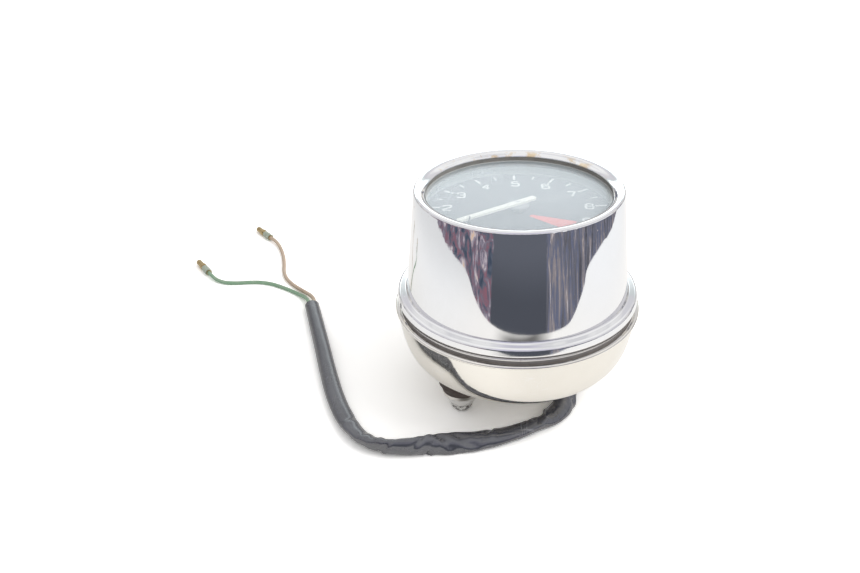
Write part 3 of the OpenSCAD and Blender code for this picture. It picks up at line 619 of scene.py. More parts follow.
def clear_glass(name):
    """Thin clear glass of a small lamp."""
    material, tree, sockets = new_material(name, IOR=1.5, Roughness=0.03)
    smear = place(tree, MOTTLING, Light=(0.92, 0.92, 0.88), Dark=LAMP_SOOT, Scale=200.0,
                  Contrast=1.4)
    feed(tree, sockets, Base_Color=smear["Colour"],
         Alpha=map_range(tree, smear["Mask"], 0.0, 1.0, 0.2, 0.3))
    return material


def clear_vinyl(name):
    """Soft see-through sleeve, slightly green, with grime in its folds."""
    material, tree, sockets = new_material(name, IOR=1.45)
    body = place(tree, MOTTLING, Light=(0.62, 0.70, 0.60), Dark=(0.34, 0.38, 0.30),
                 Scale=500.0, Contrast=1.2)
    fine = place(tree, SURFACE_GRAIN, Scale=1200.0, Depth=1.0)
    feed(tree, sockets, Base_Color=body["Colour"],
         Roughness=map_range(tree, body["Mask"], 0.0, 1.0, 0.25, 0.4),
         Alpha=map_range(tree, body["Mask"], 0.0, 1.0, 0.45, 0.75))
    bump(tree, sockets, fine["Height"], strength=0.5, distance_mm=0.1)
    return material


COVER_CHROME = chrome("cover chrome", (0.89, 0.89, 0.90), (0.84, 0.84, 0.84), rust=0.35,
                      worn_rim=True)
SHELL_CHROME = chrome("shell chrome", (0.87, 0.85, 0.80), (0.82, 0.79, 0.73), rust=0.25,
                      roughness=0.05, waviness=0.06)
WASHER_CHROME = chrome("washer chrome", (0.84, 0.83, 0.81), (0.66, 0.64, 0.60), rust=0.5,
                       roughness=0.10)
GAUGE_GLASS = hazed_glass("gauge glass haze and painted veil")
DIAL_BLACK = paint("dial black", (0.105, 0.115, 0.130), (0.080, 0.088, 0.102), 0.72, dust=0.10)
SHROUD_GREY = paint("shroud grey", (0.52, 0.57, 0.57), (0.42, 0.47, 0.47), 0.6)
PRINT_WHITE = paint("dial print white", (0.92, 0.93, 0.92), (0.82, 0.83, 0.82), 0.6, dust=0.05)
PRINT_RED = paint("dial print red", (0.92, 0.10, 0.08), (0.85, 0.08, 0.06), 0.6, dust=0.05)
NEEDLE_WHITE = paint("needle white", (0.98, 0.97, 0.87), (0.95, 0.94, 0.83), 0.5, dust=0.03)
HUB_BLACK = paint("hub black", (0.24, 0.25, 0.26), (0.19, 0.20, 0.21), 0.45)
CASE_WHITE = paint("case white", (0.86, 0.86, 0.83), (0.74, 0.73, 0.68), 0.5)
SCREW_BLACK = paint("screw black", (0.07, 0.07, 0.075), (0.05, 0.05, 0.05), 0.4)
SEAL_RUBBER = rubber("seal rubber", (0.20, 0.185, 0.18), (0.14, 0.13, 0.13))
GASKET_RUBBER = rubber("gasket rubber", (0.30, 0.29, 0.27), (0.20, 0.19, 0.18))
DAMPER_RUBBER = rubber("damper rubber", (0.085, 0.062, 0.050), (0.045, 0.034, 0.030), dust=0.45)
GROMMET_RUBBER = rubber("grommet rubber", (0.036, 0.036, 0.038), (0.020, 0.020, 0.022))
SLEEVE_VINYL = vinyl_sleeve("sleeve vinyl")
GREEN_INSULATION = insulation("green insulation", (0.24, 0.37, 0.25), (0.16, 0.29, 0.18))
BROWN_INSULATION = insulation("brown insulation", (0.57, 0.45, 0.34), (0.44, 0.32, 0.23))
LEAD_INSULATION = insulation("lead insulation", (0.10, 0.11, 0.09), (0.05, 0.06, 0.05))
TERMINAL_BRASS = metal("terminal brass", (0.66, 0.52, 0.27), (0.32, 0.23, 0.12), 0.30, 0.2, 0.6,
                       scale=700.0)
BUSH_BRONZE = metal("bush bronze", (0.50, 0.36, 0.18), (0.36, 0.25, 0.13), 0.42, 0.3, 0.9)
COLLET_BRASS = metal("collet brass", (0.72, 0.56, 0.28), (0.58, 0.44, 0.22), 0.28)
SPRING_BRONZE = metal("spring bronze", (0.66, 0.45, 0.26), (0.52, 0.34, 0.19), 0.25)
TURNED_STEEL = metal("turned steel", (0.58, 0.58, 0.59), (0.46, 0.46, 0.47), 0.28)
DULL_STEEL = metal("dull plated steel", (0.52, 0.50, 0.45), (0.34, 0.31, 0.26), 0.38)
DARK_STEEL = metal("dark steel", (0.24, 0.24, 0.25), (0.16, 0.16, 0.17), 0.4)
SPUN_ALUMINIUM = metal("drawn aluminium", (0.76, 0.76, 0.77), (0.66, 0.66, 0.68), 0.3)
CAST_METAL = metal("die-cast metal", (0.44, 0.44, 0.45), (0.34, 0.34, 0.35), 0.5, 0.0, 1.2)
MAGNET_GREY = metal("magnet grey", (0.13, 0.13, 0.14), (0.09, 0.09, 0.10), 0.45, 0.3, 0.8)
HOLDER_METAL = metal("lamp holder metal", (0.55, 0.52, 0.42), (0.42, 0.39, 0.30), 0.4)
NUT_STEEL = corroded("corroded nut steel", (0.85, 0.85, 0.84), (0.17, 0.16, 0.15),
                     (0.05, 0.045, 0.04))
BULB_GLASS = clear_glass("lamp glass")
CRIMP_VINYL = clear_vinyl("clear crimp vinyl")

NODE_MATERIALS = {
    "upper_cover": COVER_CHROME, "lens_gasket": GASKET_RUBBER, "lens": GAUGE_GLASS,
    "dial_shroud": SHROUD_GREY, "dial_plate": DIAL_BLACK, "dial_screws": SCREW_BLACK,
    "stop_pin": DARK_STEEL, "needle": NEEDLE_WHITE, "needle_hub": HUB_BLACK,
    "needle_spindle": TURNED_STEEL, "drag_cup": SPUN_ALUMINIUM,
    "hairspring_collet": COLLET_BRASS, "hairspring": SPRING_BRONZE,
    "hairspring_stud": COLLET_BRASS, "top_bridge": SPUN_ALUMINIUM, "bridge_bush": BUSH_BRONZE,
    "bridge_posts": TURNED_STEEL, "bridge_screws": DARK_STEEL, "field_cup": DULL_STEEL,
    "magnet": MAGNET_GREY, "magnet_carrier": SPUN_ALUMINIUM, "thrust_washer": COLLET_BRASS,
    "drive_shaft": TURNED_STEEL, "lower_bush": BUSH_BRONZE, "upper_bush": BUSH_BRONZE,
    "movement_frame": CAST_METAL, "frame_screws": DULL_STEEL, "dial_posts": TURNED_STEEL,
    "inner_case": CASE_WHITE, "lamp_holder": HOLDER_METAL, "lamp_bulb": BULB_GLASS,
    "lamp_leads": LEAD_INSULATION, "mounting_studs": DULL_STEEL, "case_gasket": SEAL_RUBBER,
    "lower_shell": SHELL_CHROME, "shell_nut": DULL_STEEL, "cable_spigot": DULL_STEEL,
    "dampers": DAMPER_RUBBER, "washers": WASHER_CHROME, "acorn_nuts": NUT_STEEL,
    "harness_grommet": GROMMET_RUBBER, "harness_sleeve": SLEEVE_VINYL,
    "green_wire": GREEN_INSULATION, "brown_wire": BROWN_INSULATION,
    "green_terminal": TERMINAL_BRASS, "brown_terminal": TERMINAL_BRASS,
    "green_crimp_sleeve": CRIMP_VINYL, "brown_crimp_sleeve": CRIMP_VINYL,
}


def dress_nodes():
    for name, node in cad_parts.items():
        node.data.materials.clear()
        node.data.materials.append(NODE_MATERIALS[name])
        soften(node, CRISP_SOLID)


dress_nodes()

# Case

# The cover: its sheet, rim, foot and lower edge, as in the part's source
SHEET_T = 0.8
RIM_R, RIM_ROLL, RIM_FALL, WINDOW_R = 41.25, 1.0, 1.45, 36.6
FOOT_R, FOOT_FILLET, EDGE_R = 45.6, 1.0, 48.6
# The cover's flange: a roll, a nearly straight skirt, its lean in degrees, and a curl under it
FLANGE_R, FLANGE_H, FLANGE_ROLL_TOP, FLANGE_CURL = 49.7, 5.8, 1.3, 0.95
SKIRT_LEAN, SKIRT_H = 8.0, 1.7
# The bowl: its radius, how square its curve is, its lean, its bead, its sheet and its ledge
BOWL_R, BOWL_SQUARE, BOWL_LEAN = 50.0, 4.3, 0.14
BEAD_R, SHELL_T, LEDGE_INNER = 0.8, 1.0, 45.4
SPUN_SEGMENTS, HOLE_SEGMENTS, BOWL_STEPS = 288, 96, 80
# Holes in the shell's floor, for the spigot, the harness and the two studs: x, y, radius and
# height above the floor
SHELL_HOLES = [(0, 0, 8.3, 3), (25.4, 0.4, 5.9, 3), (23.149, 19.082, 9.8, 11),
               (-23.149, -19.082, 9.8, 11)]


def straight(a, b, inset=0.3):
    """A straight run with a point near each end, which keeps its shading straight."""
    a, b = Vector(a), Vector(b)
    step = (b - a).normalized() * inset
    return [tuple(a + step), tuple(b - step)]


def sheet_outline(offset):
    """One face of the cover's sheet, from its lower edge to the lip, set in by an offset."""
    flange_top = COVER_FOOT + FLANGE_H
    wall_h = COVER_TOP - RIM_ROLL - flange_top - FOOT_FILLET
    lean = math.degrees(math.atan2(FOOT_R - RIM_R, wall_h))
    crown_w = RIM_R - RIM_ROLL - WINDOW_R - SHEET_T / 2
    bend = 2 * math.degrees(math.atan(RIM_FALL / crown_w))
    crown_r = crown_w / math.sin(math.radians(bend))
    skirt = math.radians(SKIRT_LEAN)
    corner_r = FLANGE_R - FLANGE_ROLL_TOP - SKIRT_H * math.tan(skirt)
    roll_z = flange_top - FLANGE_ROLL_TOP
    curl_z = roll_z - SKIRT_H - (FLANGE_ROLL_TOP - FLANGE_CURL) * math.sin(skirt)
    upper = arc(corner_r, roll_z, FLANGE_ROLL_TOP - offset, SKIRT_LEAN, 90, 20)
    lower = arc(FLANGE_R - FLANGE_CURL, curl_z, FLANGE_CURL - offset, -60, SKIRT_LEAN, 16)
    roll = lower + straight(lower[-1], upper[0], 0.15) + upper
    fillet = arc(FOOT_R + FOOT_FILLET, flange_top + FOOT_FILLET, FOOT_FILLET + offset,
                 270, 180 + lean, 14)
    rim = arc(RIM_R - RIM_ROLL, COVER_TOP - RIM_ROLL, RIM_ROLL - offset, lean, 90, 16)
    crown = arc(RIM_R - RIM_ROLL, COVER_TOP - SHEET_T / 2 - crown_r,
                crown_r + SHEET_T / 2 - offset, 90, 90 + bend, 20)[1:]
    return ([(EDGE_R - offset, COVER_FOOT)] + roll + fillet + straight(fillet[-1], rim[0])
            + rim + crown)


def make_cover():
    """The spun cover with its rolled rim and flange, finer than its solid to mirror evenly."""
    outer, inner = sheet_outline(0.0), sheet_outline(SHEET_T)
    middle = (Vector(outer[-1]) + Vector(inner[-1])) / 2
    start = math.degrees(math.atan2(outer[-1][1] - middle.y, outer[-1][0] - middle.x)) % 360
    lip = arc(middle.x, middle.y, SHEET_T / 2, start + 15, start + 165, 10)
    cover = lathe("upper_cover_spun", outer + lip + inner[::-1], COVER_CHROME, SPUN_SEGMENTS)
    stand_for(cover, "upper_cover")


def bowl_curve(r, h, top):
    """The bowl's section from its rim down to the axis, with close points at both ends."""
    points = []
    for i in range(BOWL_STEPS + 1):
        t = i / BOWL_STEPS
        a = math.pi / 2 * t ** 2 / (t ** 2 + (1 - t) ** 2)
        drop = h * math.sin(a) ** (2 / BOWL_SQUARE)
        inward = max(0.0, math.cos(a)) ** (2 / BOWL_SQUARE)
        points.append(((r - BOWL_LEAN * drop) * inward, top - drop))
    points[-1] = (0.0, top - h)
    return points


def cut_holes(piece, holes):
    """Cuts round upright holes through the floor of a piece."""
    cutters = []
    for x, y, r, high in holes:
        cutter = lathe("cutter", [(0, SHELL_FLOOR - 1), (r, SHELL_FLOOR - 1),
                                  (r, SHELL_FLOOR + high), (0, SHELL_FLOOR + high)],
                       None, HOLE_SEGMENTS, (x, y), closed=False)
        cut = piece.modifiers.new("hole", "BOOLEAN")
        cut.operation, cut.solver, cut.object = "DIFFERENCE", "EXACT", cutter
        cutters.append(cutter)
    whole = piece.evaluated_get(bpy.context.evaluated_depsgraph_get())
    plain, piece.data = piece.data, bpy.data.meshes.new_from_object(whole)
    piece.modifiers.clear()
    bpy.data.meshes.remove(plain)
    for cutter in cutters:
        mesh = cutter.data
        bpy.data.objects.remove(cutter)
        bpy.data.meshes.remove(mesh)


def make_bowl():
    """The lower shell with its bead, ledge and holes, finer than its solid."""
    top, h = SHELL_TOP - 2 * BEAD_R, SHELL_TOP - 2 * BEAD_R - SHELL_FLOOR
    profile = ([(LEDGE_INNER, SHELL_TOP)] + arc(BOWL_R, SHELL_TOP - BEAD_R, BEAD_R, 90, -80, 20)
               + bowl_curve(BOWL_R, h, top) + bowl_curve(BOWL_R - SHELL_T, h - SHELL_T, top)[::-1]
               + [(BOWL_R - SHELL_T, SHELL_TOP - SHELL_T), (LEDGE_INNER, SHELL_TOP - SHELL_T)])
    bowl = lathe("lower_shell_spun", profile, SHELL_CHROME, SPUN_SEGMENTS)
    cut_holes(bowl, SHELL_HOLES)
    soften(bowl, CRISP_SPUN)
    stand_for(bowl, "lower_shell")


make_cover()
make_bowl()

# Cords

# Routes of the centres, as in the part's source
SLEEVE_ROUTE = [
    (25.4, -3.9, 10.6), (24.9, -7, 7.9), (24, -11, 5.5), (22.3, -15.7, 4),
    (19, -22.2, 3.5), (12.6, -29.4, 3.5), (4.4, -34.9, 3.5), (-5, -39.3, 3.5),
    (-15, -42.8, 3.5), (-25.5, -45.2, 3.5), (-35.5, -47.2, 3.5), (-45.2, -48.6, 3.5),
    (-53.8, -47.8, 3.5), (-61.4, -43.8, 3.5), (-67.6, -37, 3.5), (-73.4, -27, 3.5),
    (-79.4, -12.6, 3.5), (-85.4, 5.8, 3.5), (-91.2, 25.2, 3.5), (-97.4, 45.6, 3.5),
    (-102.6, 62.6, 3.5),
]
GREEN_ROUTE = [
    (-104, 62.2, 3.2), (-105.3, 66.5, 3.2), (-107.7, 70.9, 2.4), (-111.8, 75.8, 1.4),
    (-117, 80.2, 1), (-122.8, 84.2, 1), (-129.2, 87.8, 1), (-135.8, 89.8, 1),
    (-142.4, 90, 1), (-149.4, 89.4, 1), (-156, 89.8, 1.1), (-161.6, 92.2, 1.5),
    (-165.6, 96, 2), (-168.3, 99.6, 2),
]
BROWN_ROUTE = [
    (-101.2, 63.1, 3.6), (-102.5, 67.3, 3.6), (-105.2, 72.8, 2.6), (-110.4, 79.4, 1.4),
    (-117, 86.4, 1), (-122.4, 93.8, 1), (-125.6, 101.8, 1), (-127.6, 111.4, 1),
    (-130.4, 122, 1), (-134.4, 132.2, 1.3), (-138.2, 138.4, 2), (-142.4, 143.4, 2),
]
SLEEVE_D, WIRE_D = 7.0, 2.0
# The sleeve's wall, how deep its open end is modelled and its mean radius there
SLEEVE_WALL, SLEEVE_OPEN, SLEEVE_END_R = 0.5, 9.0, 3.4
# Points round the sleeve, and steps of the sleeve and the wires between two points of their routes
SLEEVE_SIDES, SLEEVE_STEPS, WIRE_STEPS = 48, 9, 8
# How flat the sleeve's broad faces are, the gap under it and the ring after which it lies down
SLEEVE_FLATNESS, FLOOR_GAP, LIES_AFTER = 0.2, 0.05, 24
# Its fine wrinkles: their height and how closely they follow along and round it
WRINKLE_HEIGHT, WRINKLES_ALONG, WRINKLES_ROUND = 0.04, 60, 2
# The least radius that a fold leaves, and that a fold and a wrinkle leave together
FOLD_CORE, SLEEVE_CORE = 2.55, 2.5

# How the sleeve lies along its length: share of the length, half width, half thickness and the
# turn of its flat side from level, in degrees
SLEEVE_LIE = [
    (0.00, 3.5, 3.3, 0), (0.05, 3.6, 3.1, 40), (0.10, 4.1, 2.7, 62), (0.17, 4.4, 2.6, 35),
    (0.23, 4.5, 2.6, 8), (0.28, 4.2, 2.7, -25), (0.33, 4.3, 2.6, -10), (0.40, 4.3, 2.7, 15),
    (0.46, 4.4, 2.6, 40), (0.50, 4.3, 2.7, 70), (0.54, 4.2, 2.8, 96), (0.60, 4.3, 2.7, 120),
    (0.67, 4.2, 2.7, 150), (0.76, 4.1, 2.7, 176), (0.90, 3.8, 2.8, 186), (1.00, 3.7, 2.8, 180),
]
# Folds pressed into it: share of the length, place round the tube in degrees, how far the fold
# reaches along and round, its slant in degrees over its length, and its depth
SLEEVE_FOLDS = [
    (0.265, 70, 0.016, 26, 60, 1.7), (0.285, 115, 0.012, 20, -70, 1.4),
    (0.245, 20, 0.014, 22, 50, 1.2), (0.475, 60, 0.016, 24, -60, 1.6),
    (0.500, 120, 0.012, 22, 60, 1.5), (0.520, 30, 0.014, 26, 40, 1.2),
    (0.600, 75, 0.020, 22, 80, 1.2), (0.640, 130, 0.018, 20, -60, 1.1),
    (0.150, 95, 0.020, 24, 50, 1.1), (0.380, 50, 0.022, 20, 70, 0.9),
    (0.430, 100, 0.020, 22, -50, 1.0), (0.720, 100, 0.026, 18, 60, 0.8),
]
# Where a fold ends, in its own reaches, and the bulge beside it: its share of the fold's depth
# and how many spreads it is away
FOLD_END, BULGE_SHARE, BULGE_AT = 2.6, 0.45, 1.7


def tube_frames(points):
    """Tangent, sideways and upward direction at each point of a path."""
    frames = []
    for i in range(len(points)):
        along = (points[min(i + 1, len(points) - 1)] - points[max(i - 1, 0)]).normalized()
        side = along.cross(Vector((0, 0, 1))).normalized()
        frames.append((along, side, side.cross(along).normalized()))
    return frames


def flattened_section(half_w, half_t, turn, around):
    """A point of a flattened tube's section: two shallow faces that meet in soft edges."""
    x = half_w * math.cos(around)
    y = half_t * math.sin(around) * abs(math.sin(around)) ** SLEEVE_FLATNESS
    c, s = math.cos(turn), math.sin(turn)
    return x * c - y * s, x * s + y * c


def fold_depth(s, degrees):
    """How deep the folds press at a place along and round the sleeve."""
    depth = 0
    for at, place_deg, reach, spread, slant, deep in SLEEVE_FOLDS:
        t = (s - at) / reach
        if abs(t) < FOLD_END:
            gap = ((degrees - place_deg - slant * t + 180) % 360 - 180) / spread
            bulge = BULGE_SHARE * math.exp(-(gap - BULGE_AT) ** 2)
            depth += deep * math.exp(-t * t) * (math.exp(-gap ** 2) - bulge)
    return depth


def sleeve_ring(s, side, up):
    """The sleeve's section at a share of its length, as offsets from its centre."""
    half_w, half_t, turn = between(SLEEVE_LIE, s)
    ring = []
    for k in range(SLEEVE_SIDES):
        around = 2 * math.pi * k / SLEEVE_SIDES
        x, y = flattened_section(half_w, half_t, math.radians(turn), around)
        r = math.hypot(x, y)
        across = Vector((0, math.cos(around), math.sin(around))) * WRINKLES_ROUND
        wrinkle = smooth_noise(across + Vector((s * WRINKLES_ALONG, 0, 0))) * WRINKLE_HEIGHT
        deep = min(fold_depth(s, math.degrees(around)), r - FOLD_CORE)
        scale = max(SLEEVE_CORE, r - deep + wrinkle) / r
        ring.append(side * x * scale + up * y * scale)
    return ring


def make_sleeve():
    """The flattened, folded sleeve, whose open end lies on the floor."""
    route = smooth_path(SLEEVE_ROUTE, SLEEVE_STEPS)
    verts, centres = [], []
    for i, (centre, (along, side, up)) in enumerate(zip(route, tube_frames(route))):
        ring = sleeve_ring(i / (len(route) - 1), side, up)
        lift = FLOOR_GAP - min((centre + offset).z for offset in ring)
        if i <= LIES_AFTER:
            lift = max(0.0, lift)
        centres.append(centre + Vector((0, 0, lift)))
        verts += [(centres[-1] + offset) * MM for offset in ring]
    bore = 1 - SLEEVE_WALL / SLEEVE_END_R
    for back in (0.0, SLEEVE_OPEN):
        verts += [(centres[-1] - along * back + offset * bore) * MM for offset in ring]
    sides = range(SLEEVE_SIDES)
    rings = [[i * SLEEVE_SIDES + k for k in sides] for i in range(len(route) + 2)]
    faces = [rings[0][::-1], rings[-1]]
    for low, high in zip(rings, rings[1:]):
        faces += [(low[k - 1], low[k], high[k], high[k - 1]) for k in sides]
    sleeve = link_mesh("harness_sleeve_vinyl", verts, faces, SLEEVE_VINYL)
    clean(sleeve)
    soften(sleeve, CRISP_SLEEVE)
    stand_for(sleeve, "harness_sleeve")


def make_wire(name, route, material, node):
    """A wire as one smooth curve, lying where its solid lies."""
    points = [Vector((p.x, p.y, max(p.z, WIRE_D / 2))) for p in smooth_path(route, WIRE_STEPS)]
    curve = bpy.data.curves.new(name, "CURVE")
    curve.dimensions = "3D"
    curve.bevel_depth = WIRE_D / 2 * MM
    curve.bevel_resolution = 6
    curve.use_fill_caps = True
    spline = curve.splines.new("POLY")
    spline.points.add(len(points) - 1)
    for target, point in zip(spline.points, points):
        target.co = (*(point * MM), 1)
    curve.materials.append(material)
    wire = bpy.data.objects.new(name, curve)
    bpy.context.scene.collection.objects.link(wire)
    stand_for(wire, node)


make_sleeve()
for colour_name, route, insulation_material in (
        ("green", GREEN_ROUTE, GREEN_INSULATION), ("brown", BROWN_ROUTE, BROWN_INSULATION)):
    make_wire(f"{colour_name}_wire_insulated", route, insulation_material, f"{colour_name}_wire")

# Dial print

PRINT_T = 0.03
DEGREES_PER_MARK = 28.0
MARK_AT_TOP, LAST_MARK = 5, 10
NUMERAL_W, NUMERAL_H, NUMERAL_STROKE, NUMERAL_CORNER = 3.8, 5.6, 0.85, 0.9
# Ring of the numerals' middles, how much farther out it lies at 3 and 9 o'clock, how far the
# print sits to the right, and the step between two digits as a share of their width
NUMERAL_RING, NUMERAL_BULGE, NUMERAL_SHIFT, DIGIT_STEP = 26.8, 1.8, 0.25, 1.32
# Ticks: inner and outer radius and width
FULL_TICK = (31.2, 36.0, 1.0)
HALF_TICK = (32.0, 35.2, 0.7)
# Sides of the red sector, as points (x, y), and its outer radius
RED_UPPER = [(6.0, -4.6), (22.6, -11.1)]
RED_LOWER = [(5.2, -6.6), (17.2, -17.85)]
RED_OUTER = 24.8
# The radius of its tip, and the angles in degrees at which the tip's arc starts and ends
RED_TIP_R, RED_TIP_START, RED_TIP_END = 1.1, -112, -248


def on_dial(radius, degrees):
    """A point on the dial, by its distance and its angle clockwise from 12 o'clock."""
    turn = math.radians(degrees)
    return Vector((radius * math.sin(turn), radius * math.cos(turn)))


def rounded(points, radius):
    """A path with the corners between its two ends rounded off."""
    out = [Vector(points[0])]
    for before, corner, after in zip(points, points[1:], points[2:]):
        corner, back, on = Vector(corner), Vector(before), Vector(after)
        cut = min(radius, (back - corner).length / 2, (on - corner).length / 2)
        start = corner + (back - corner).normalized() * cut
        end = corner + (on - corner).normalized() * cut
        for i in range(6):
            t = i / 5
            out.append(start * (1 - t) ** 2 + corner * 2 * t * (1 - t) + end * t * t)
    out.append(Vector(points[-1]))
    return out


# Strokes of the numerals in a cell one wide and one high
STROKES = {
    "0": [[(0.5, 0), (0, 0), (0, 1), (1, 1), (1, 0), (0.5, 0)]],
    "1": [[(0.25, 0.78), (0.55, 1), (0.55, 0)]],
    "2": [[(0, 0.74), (0, 1), (1, 1), (1, 0.56), (0, 0.22), (0, 0), (1, 0)]],
    "3": [[(0, 0.8), (0, 1), (1, 1), (1, 0.53), (0.35, 0.53)],
          [(0.45, 0.53), (1, 0.53), (1, 0), (0, 0), (0, 0.2)]],
    "4": [[(0.74, 0), (0.74, 1)], [(0.74, 1), (0, 0.3), (1.04, 0.3)]],
    "5": [[(0.95, 1), (0.06, 1), (0.0, 0.56), (1, 0.6), (1, 0), (0, 0), (0, 0.18)]],
    "6": [[(1, 0.84), (1, 1), (0, 1), (0, 0), (1, 0), (1, 0.58), (0.02, 0.58)]],
    "7": [[(0, 0.86), (0, 1), (1, 1), (0.4, 0)]],
    "8": [[(0.5, 0.53), (0.06, 0.53), (0.06, 1), (0.94, 1), (0.94, 0.53), (0.5, 0.53)],
          [(0.5, 0.53), (0, 0.53), (0, 0), (1, 0), (1, 0.53), (0.5, 0.53)]],
    "9": [[(0, 0.16), (0, 0), (1, 0), (1, 1), (0, 1), (0, 0.42), (0.98, 0.42)]],
}


def ribbon(path, width, verts, faces):
    """Adds a flat stroke of even width along a path on the dial, in millimetres."""
    sides = []
    for i, point in enumerate(path):
        along = (path[min(i + 1, len(path) - 1)] - path[max(i - 1, 0)]).normalized()
        across = Vector((-along.y, along.x)) * width / 2
        sides.append((point + across, point - across))
    first = len(verts)
    for left, right in sides:
        for height in (0.0, PRINT_T):
            verts += [mm(*end, DIAL_TOP + height) for end in (left, right)]
    for i in range(len(sides) - 1):
        a, b = first + 4 * i, first + 4 * (i + 1)
        faces += [(a + 2, a + 3, b + 3, b + 2), (a, b, b + 1, a + 1),
                  (a, a + 2, b + 2, b), (a + 1, b + 1, b + 3, a + 3)]
    a, b = first, first + 4 * (len(sides) - 1)
    faces += [(a, a + 1, a + 3, a + 2), (b, b + 2, b + 3, b + 1)]


def add_digit(figure, low_left, verts, faces):
    """Adds a digit's strokes, from the lower left corner of its cell."""
    inset = NUMERAL_STROKE / 2
    for stroke in STROKES[figure]:
        path = [low_left + Vector((inset + x * (NUMERAL_W - 2 * inset),
                                   inset + y * (NUMERAL_H - 2 * inset))) for x, y in stroke]
        ribbon(rounded(path, NUMERAL_CORNER), NUMERAL_STROKE, verts, faces)


def lay_print(name, verts, faces, material):
    """A printed mark on the dial, from points in metres and faces."""
    mark = link_mesh(name, verts, faces, material, smooth=False)
    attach(mark, "gauge")
    return mark


def make_numerals():
    verts, faces = [], []
    for value in range(LAST_MARK + 1):
        angle = (value - MARK_AT_TOP) * DEGREES_PER_MARK
        ring = NUMERAL_RING + NUMERAL_BULGE * math.sin(math.radians(angle)) ** 4
        centre = on_dial(ring, angle) + Vector((NUMERAL_SHIFT, 0))
        figures = str(value)
        for i, figure in enumerate(figures):
            shift = (i - (len(figures) - 1) / 2) * NUMERAL_W * DIGIT_STEP
            low_left = centre + Vector((shift - NUMERAL_W / 2, -NUMERAL_H / 2))
            add_digit(figure, low_left, verts, faces)
    lay_print("dial_numerals", verts, faces, PRINT_WHITE)


def make_ticks():
    verts, faces = [], []
    for half_step in range(2 * LAST_MARK + 1):
        angle = (half_step / 2 - MARK_AT_TOP) * DEGREES_PER_MARK
        inner, outer, width = HALF_TICK if half_step % 2 else FULL_TICK
        ribbon([on_dial(inner, angle), on_dial(outer, angle)], width, verts, faces)
    lay_print("dial_ticks", verts, faces, PRINT_WHITE)


def make_red_sector():
    """The red sector, a wedge with a rounded tip towards the axis."""
    upper, lower = [Vector(p) for p in RED_UPPER], [Vector(p) for p in RED_LOWER]
    far = [math.degrees(math.atan2(p.y, p.x)) for p in (upper[1], lower[1])]
    rim = [Vector(p) for p in arc(0, 0, RED_OUTER, far[0], far[1], 16)]
    middle = (upper[0] + lower[0]) / 2
    tip = [Vector(p) for p in arc(middle.x, middle.y, RED_TIP_R, RED_TIP_START, RED_TIP_END, 8)]
    outline = [upper[0]] + rim + [lower[0]] + tip
    count = len(outline)
    verts = [mm(p.x, p.y, DIAL_TOP + h) for h in (0.0, PRINT_T) for p in outline]
    faces = [tuple(range(count - 1, -1, -1)), tuple(range(count, 2 * count))]
    faces += [(i, (i + 1) % count, (i + 1) % count + count, i + count) for i in range(count)]
    clean(lay_print("dial_red_sector", verts, faces, PRINT_RED))


make_numerals()
make_ticks()
make_red_sector()

# Stage

# Front edge of the white sheet that the gauge stands on, as its plating mirrors it: beyond it the
# room is dark. Points are (x, y) in millimetres.
SHEET_EDGE_MM = [(-330, 60), (-328, 10), (-308, -27), (-268, -107), (-225, -163), (-193, -178),
                 (-158, -176), (-122, -176), (-90, -178), (-61, -182), (-25, -185), (17, -183),
                 (57, -173), (95, -154), (127, -133), (149, -125), (173, -118), (202, -109),
                 (232, -103), (256, -63), (269, -13), (263, 50), (262, 110)]
# The room's screen along that edge: its height in the middle, the share of it that is left at
# its ends and how far out these are
ROOM_HEIGHT_MM, ROOM_END_SHARE, ROOM_END_MM = 80, 0.35, 330
# The slate part in the middle of the room's screen: the places between which its left side, its
# right side and its lighter top come in
SLATE_LEFT_MM, SLATE_RIGHT_MM, SLATE_Z_MM = (-86, -80), (70, 74), (15, 50)
SLATE_LOW, SLATE_HIGH = (0.083, 0.090, 0.112), (0.125, 0.134, 0.165)
# Colours of the room's muted shapes and of its shelves, by the strength of a noise
HEAPS = [(0.34, (0.06, 0.08, 0.12)), (0.43, (0.13, 0.15, 0.20)), (0.47, (0.30, 0.13, 0.17)),
         (0.51, (0.17, 0.17, 0.22)), (0.57, (0.34, 0.29, 0.36)), (0.63, (0.70, 0.64, 0.67)),
         (0.70, (0.76, 0.50, 0.30))]
SHELVES = [(0.34, (0.09, 0.09, 0.11)), (0.44, (0.17, 0.17, 0.20)), (0.50, (0.14, 0.16, 0.25)),
           (0.56, (0.23, 0.22, 0.25)), (0.62, (0.36, 0.31, 0.31)), (0.69, (0.80, 0.78, 0.82))]

# The screen far behind the gauge
BACK_AWAY_MM, BACK_HEIGHT_MM, BACK_STEPS = 700, 250, 60
BACK_DARK, BACK_LIGHT = (0.10, 0.11, 0.16), (0.85, 0.82, 0.78)

# The bright wall behind the gauge: half its width, its distance and its heights, and the places
# between which its light changes from full to dim at its sides, foot and top
WALL_HALF_MM, WALL_AWAY_MM, WALL_FOOT_MM, WALL_TOP_MM = 900, 1000, 280, 660
WALL_SIDE_MM, WALL_LOW_MM, WALL_HIGH_MM = (350, 900), (280, 400), (520, 660)
WALL_COLOUR, WALL_DIM, WALL_LIGHT = (0.92, 0.98, 1.0, 1), 0.72, 2.0

FLOOR_HALF = 6.0
FLOOR_LIGHT, FLOOR_DARK = (0.97, 0.965, 0.955), (0.955, 0.945, 0.93)
# How much brighter the floor shows to the camera than it lights the gauge
FLOOR_SEEN = 1.45
# Painted shade and light in the floor, seen only in the plating: where it mirrors the floor darker
# or lighter, by what share, and the places between which each change comes in: far off at the left,
# and at the right
LEFT_PAINTED_SHADE, LEFT_AWAY_MM, LEFT_X_MM = 0.16, (190, 300), (-120, 0)
RIGHT_PAINTED_SHADE, RIGHT_X_MM = 0.06, (50, 200)
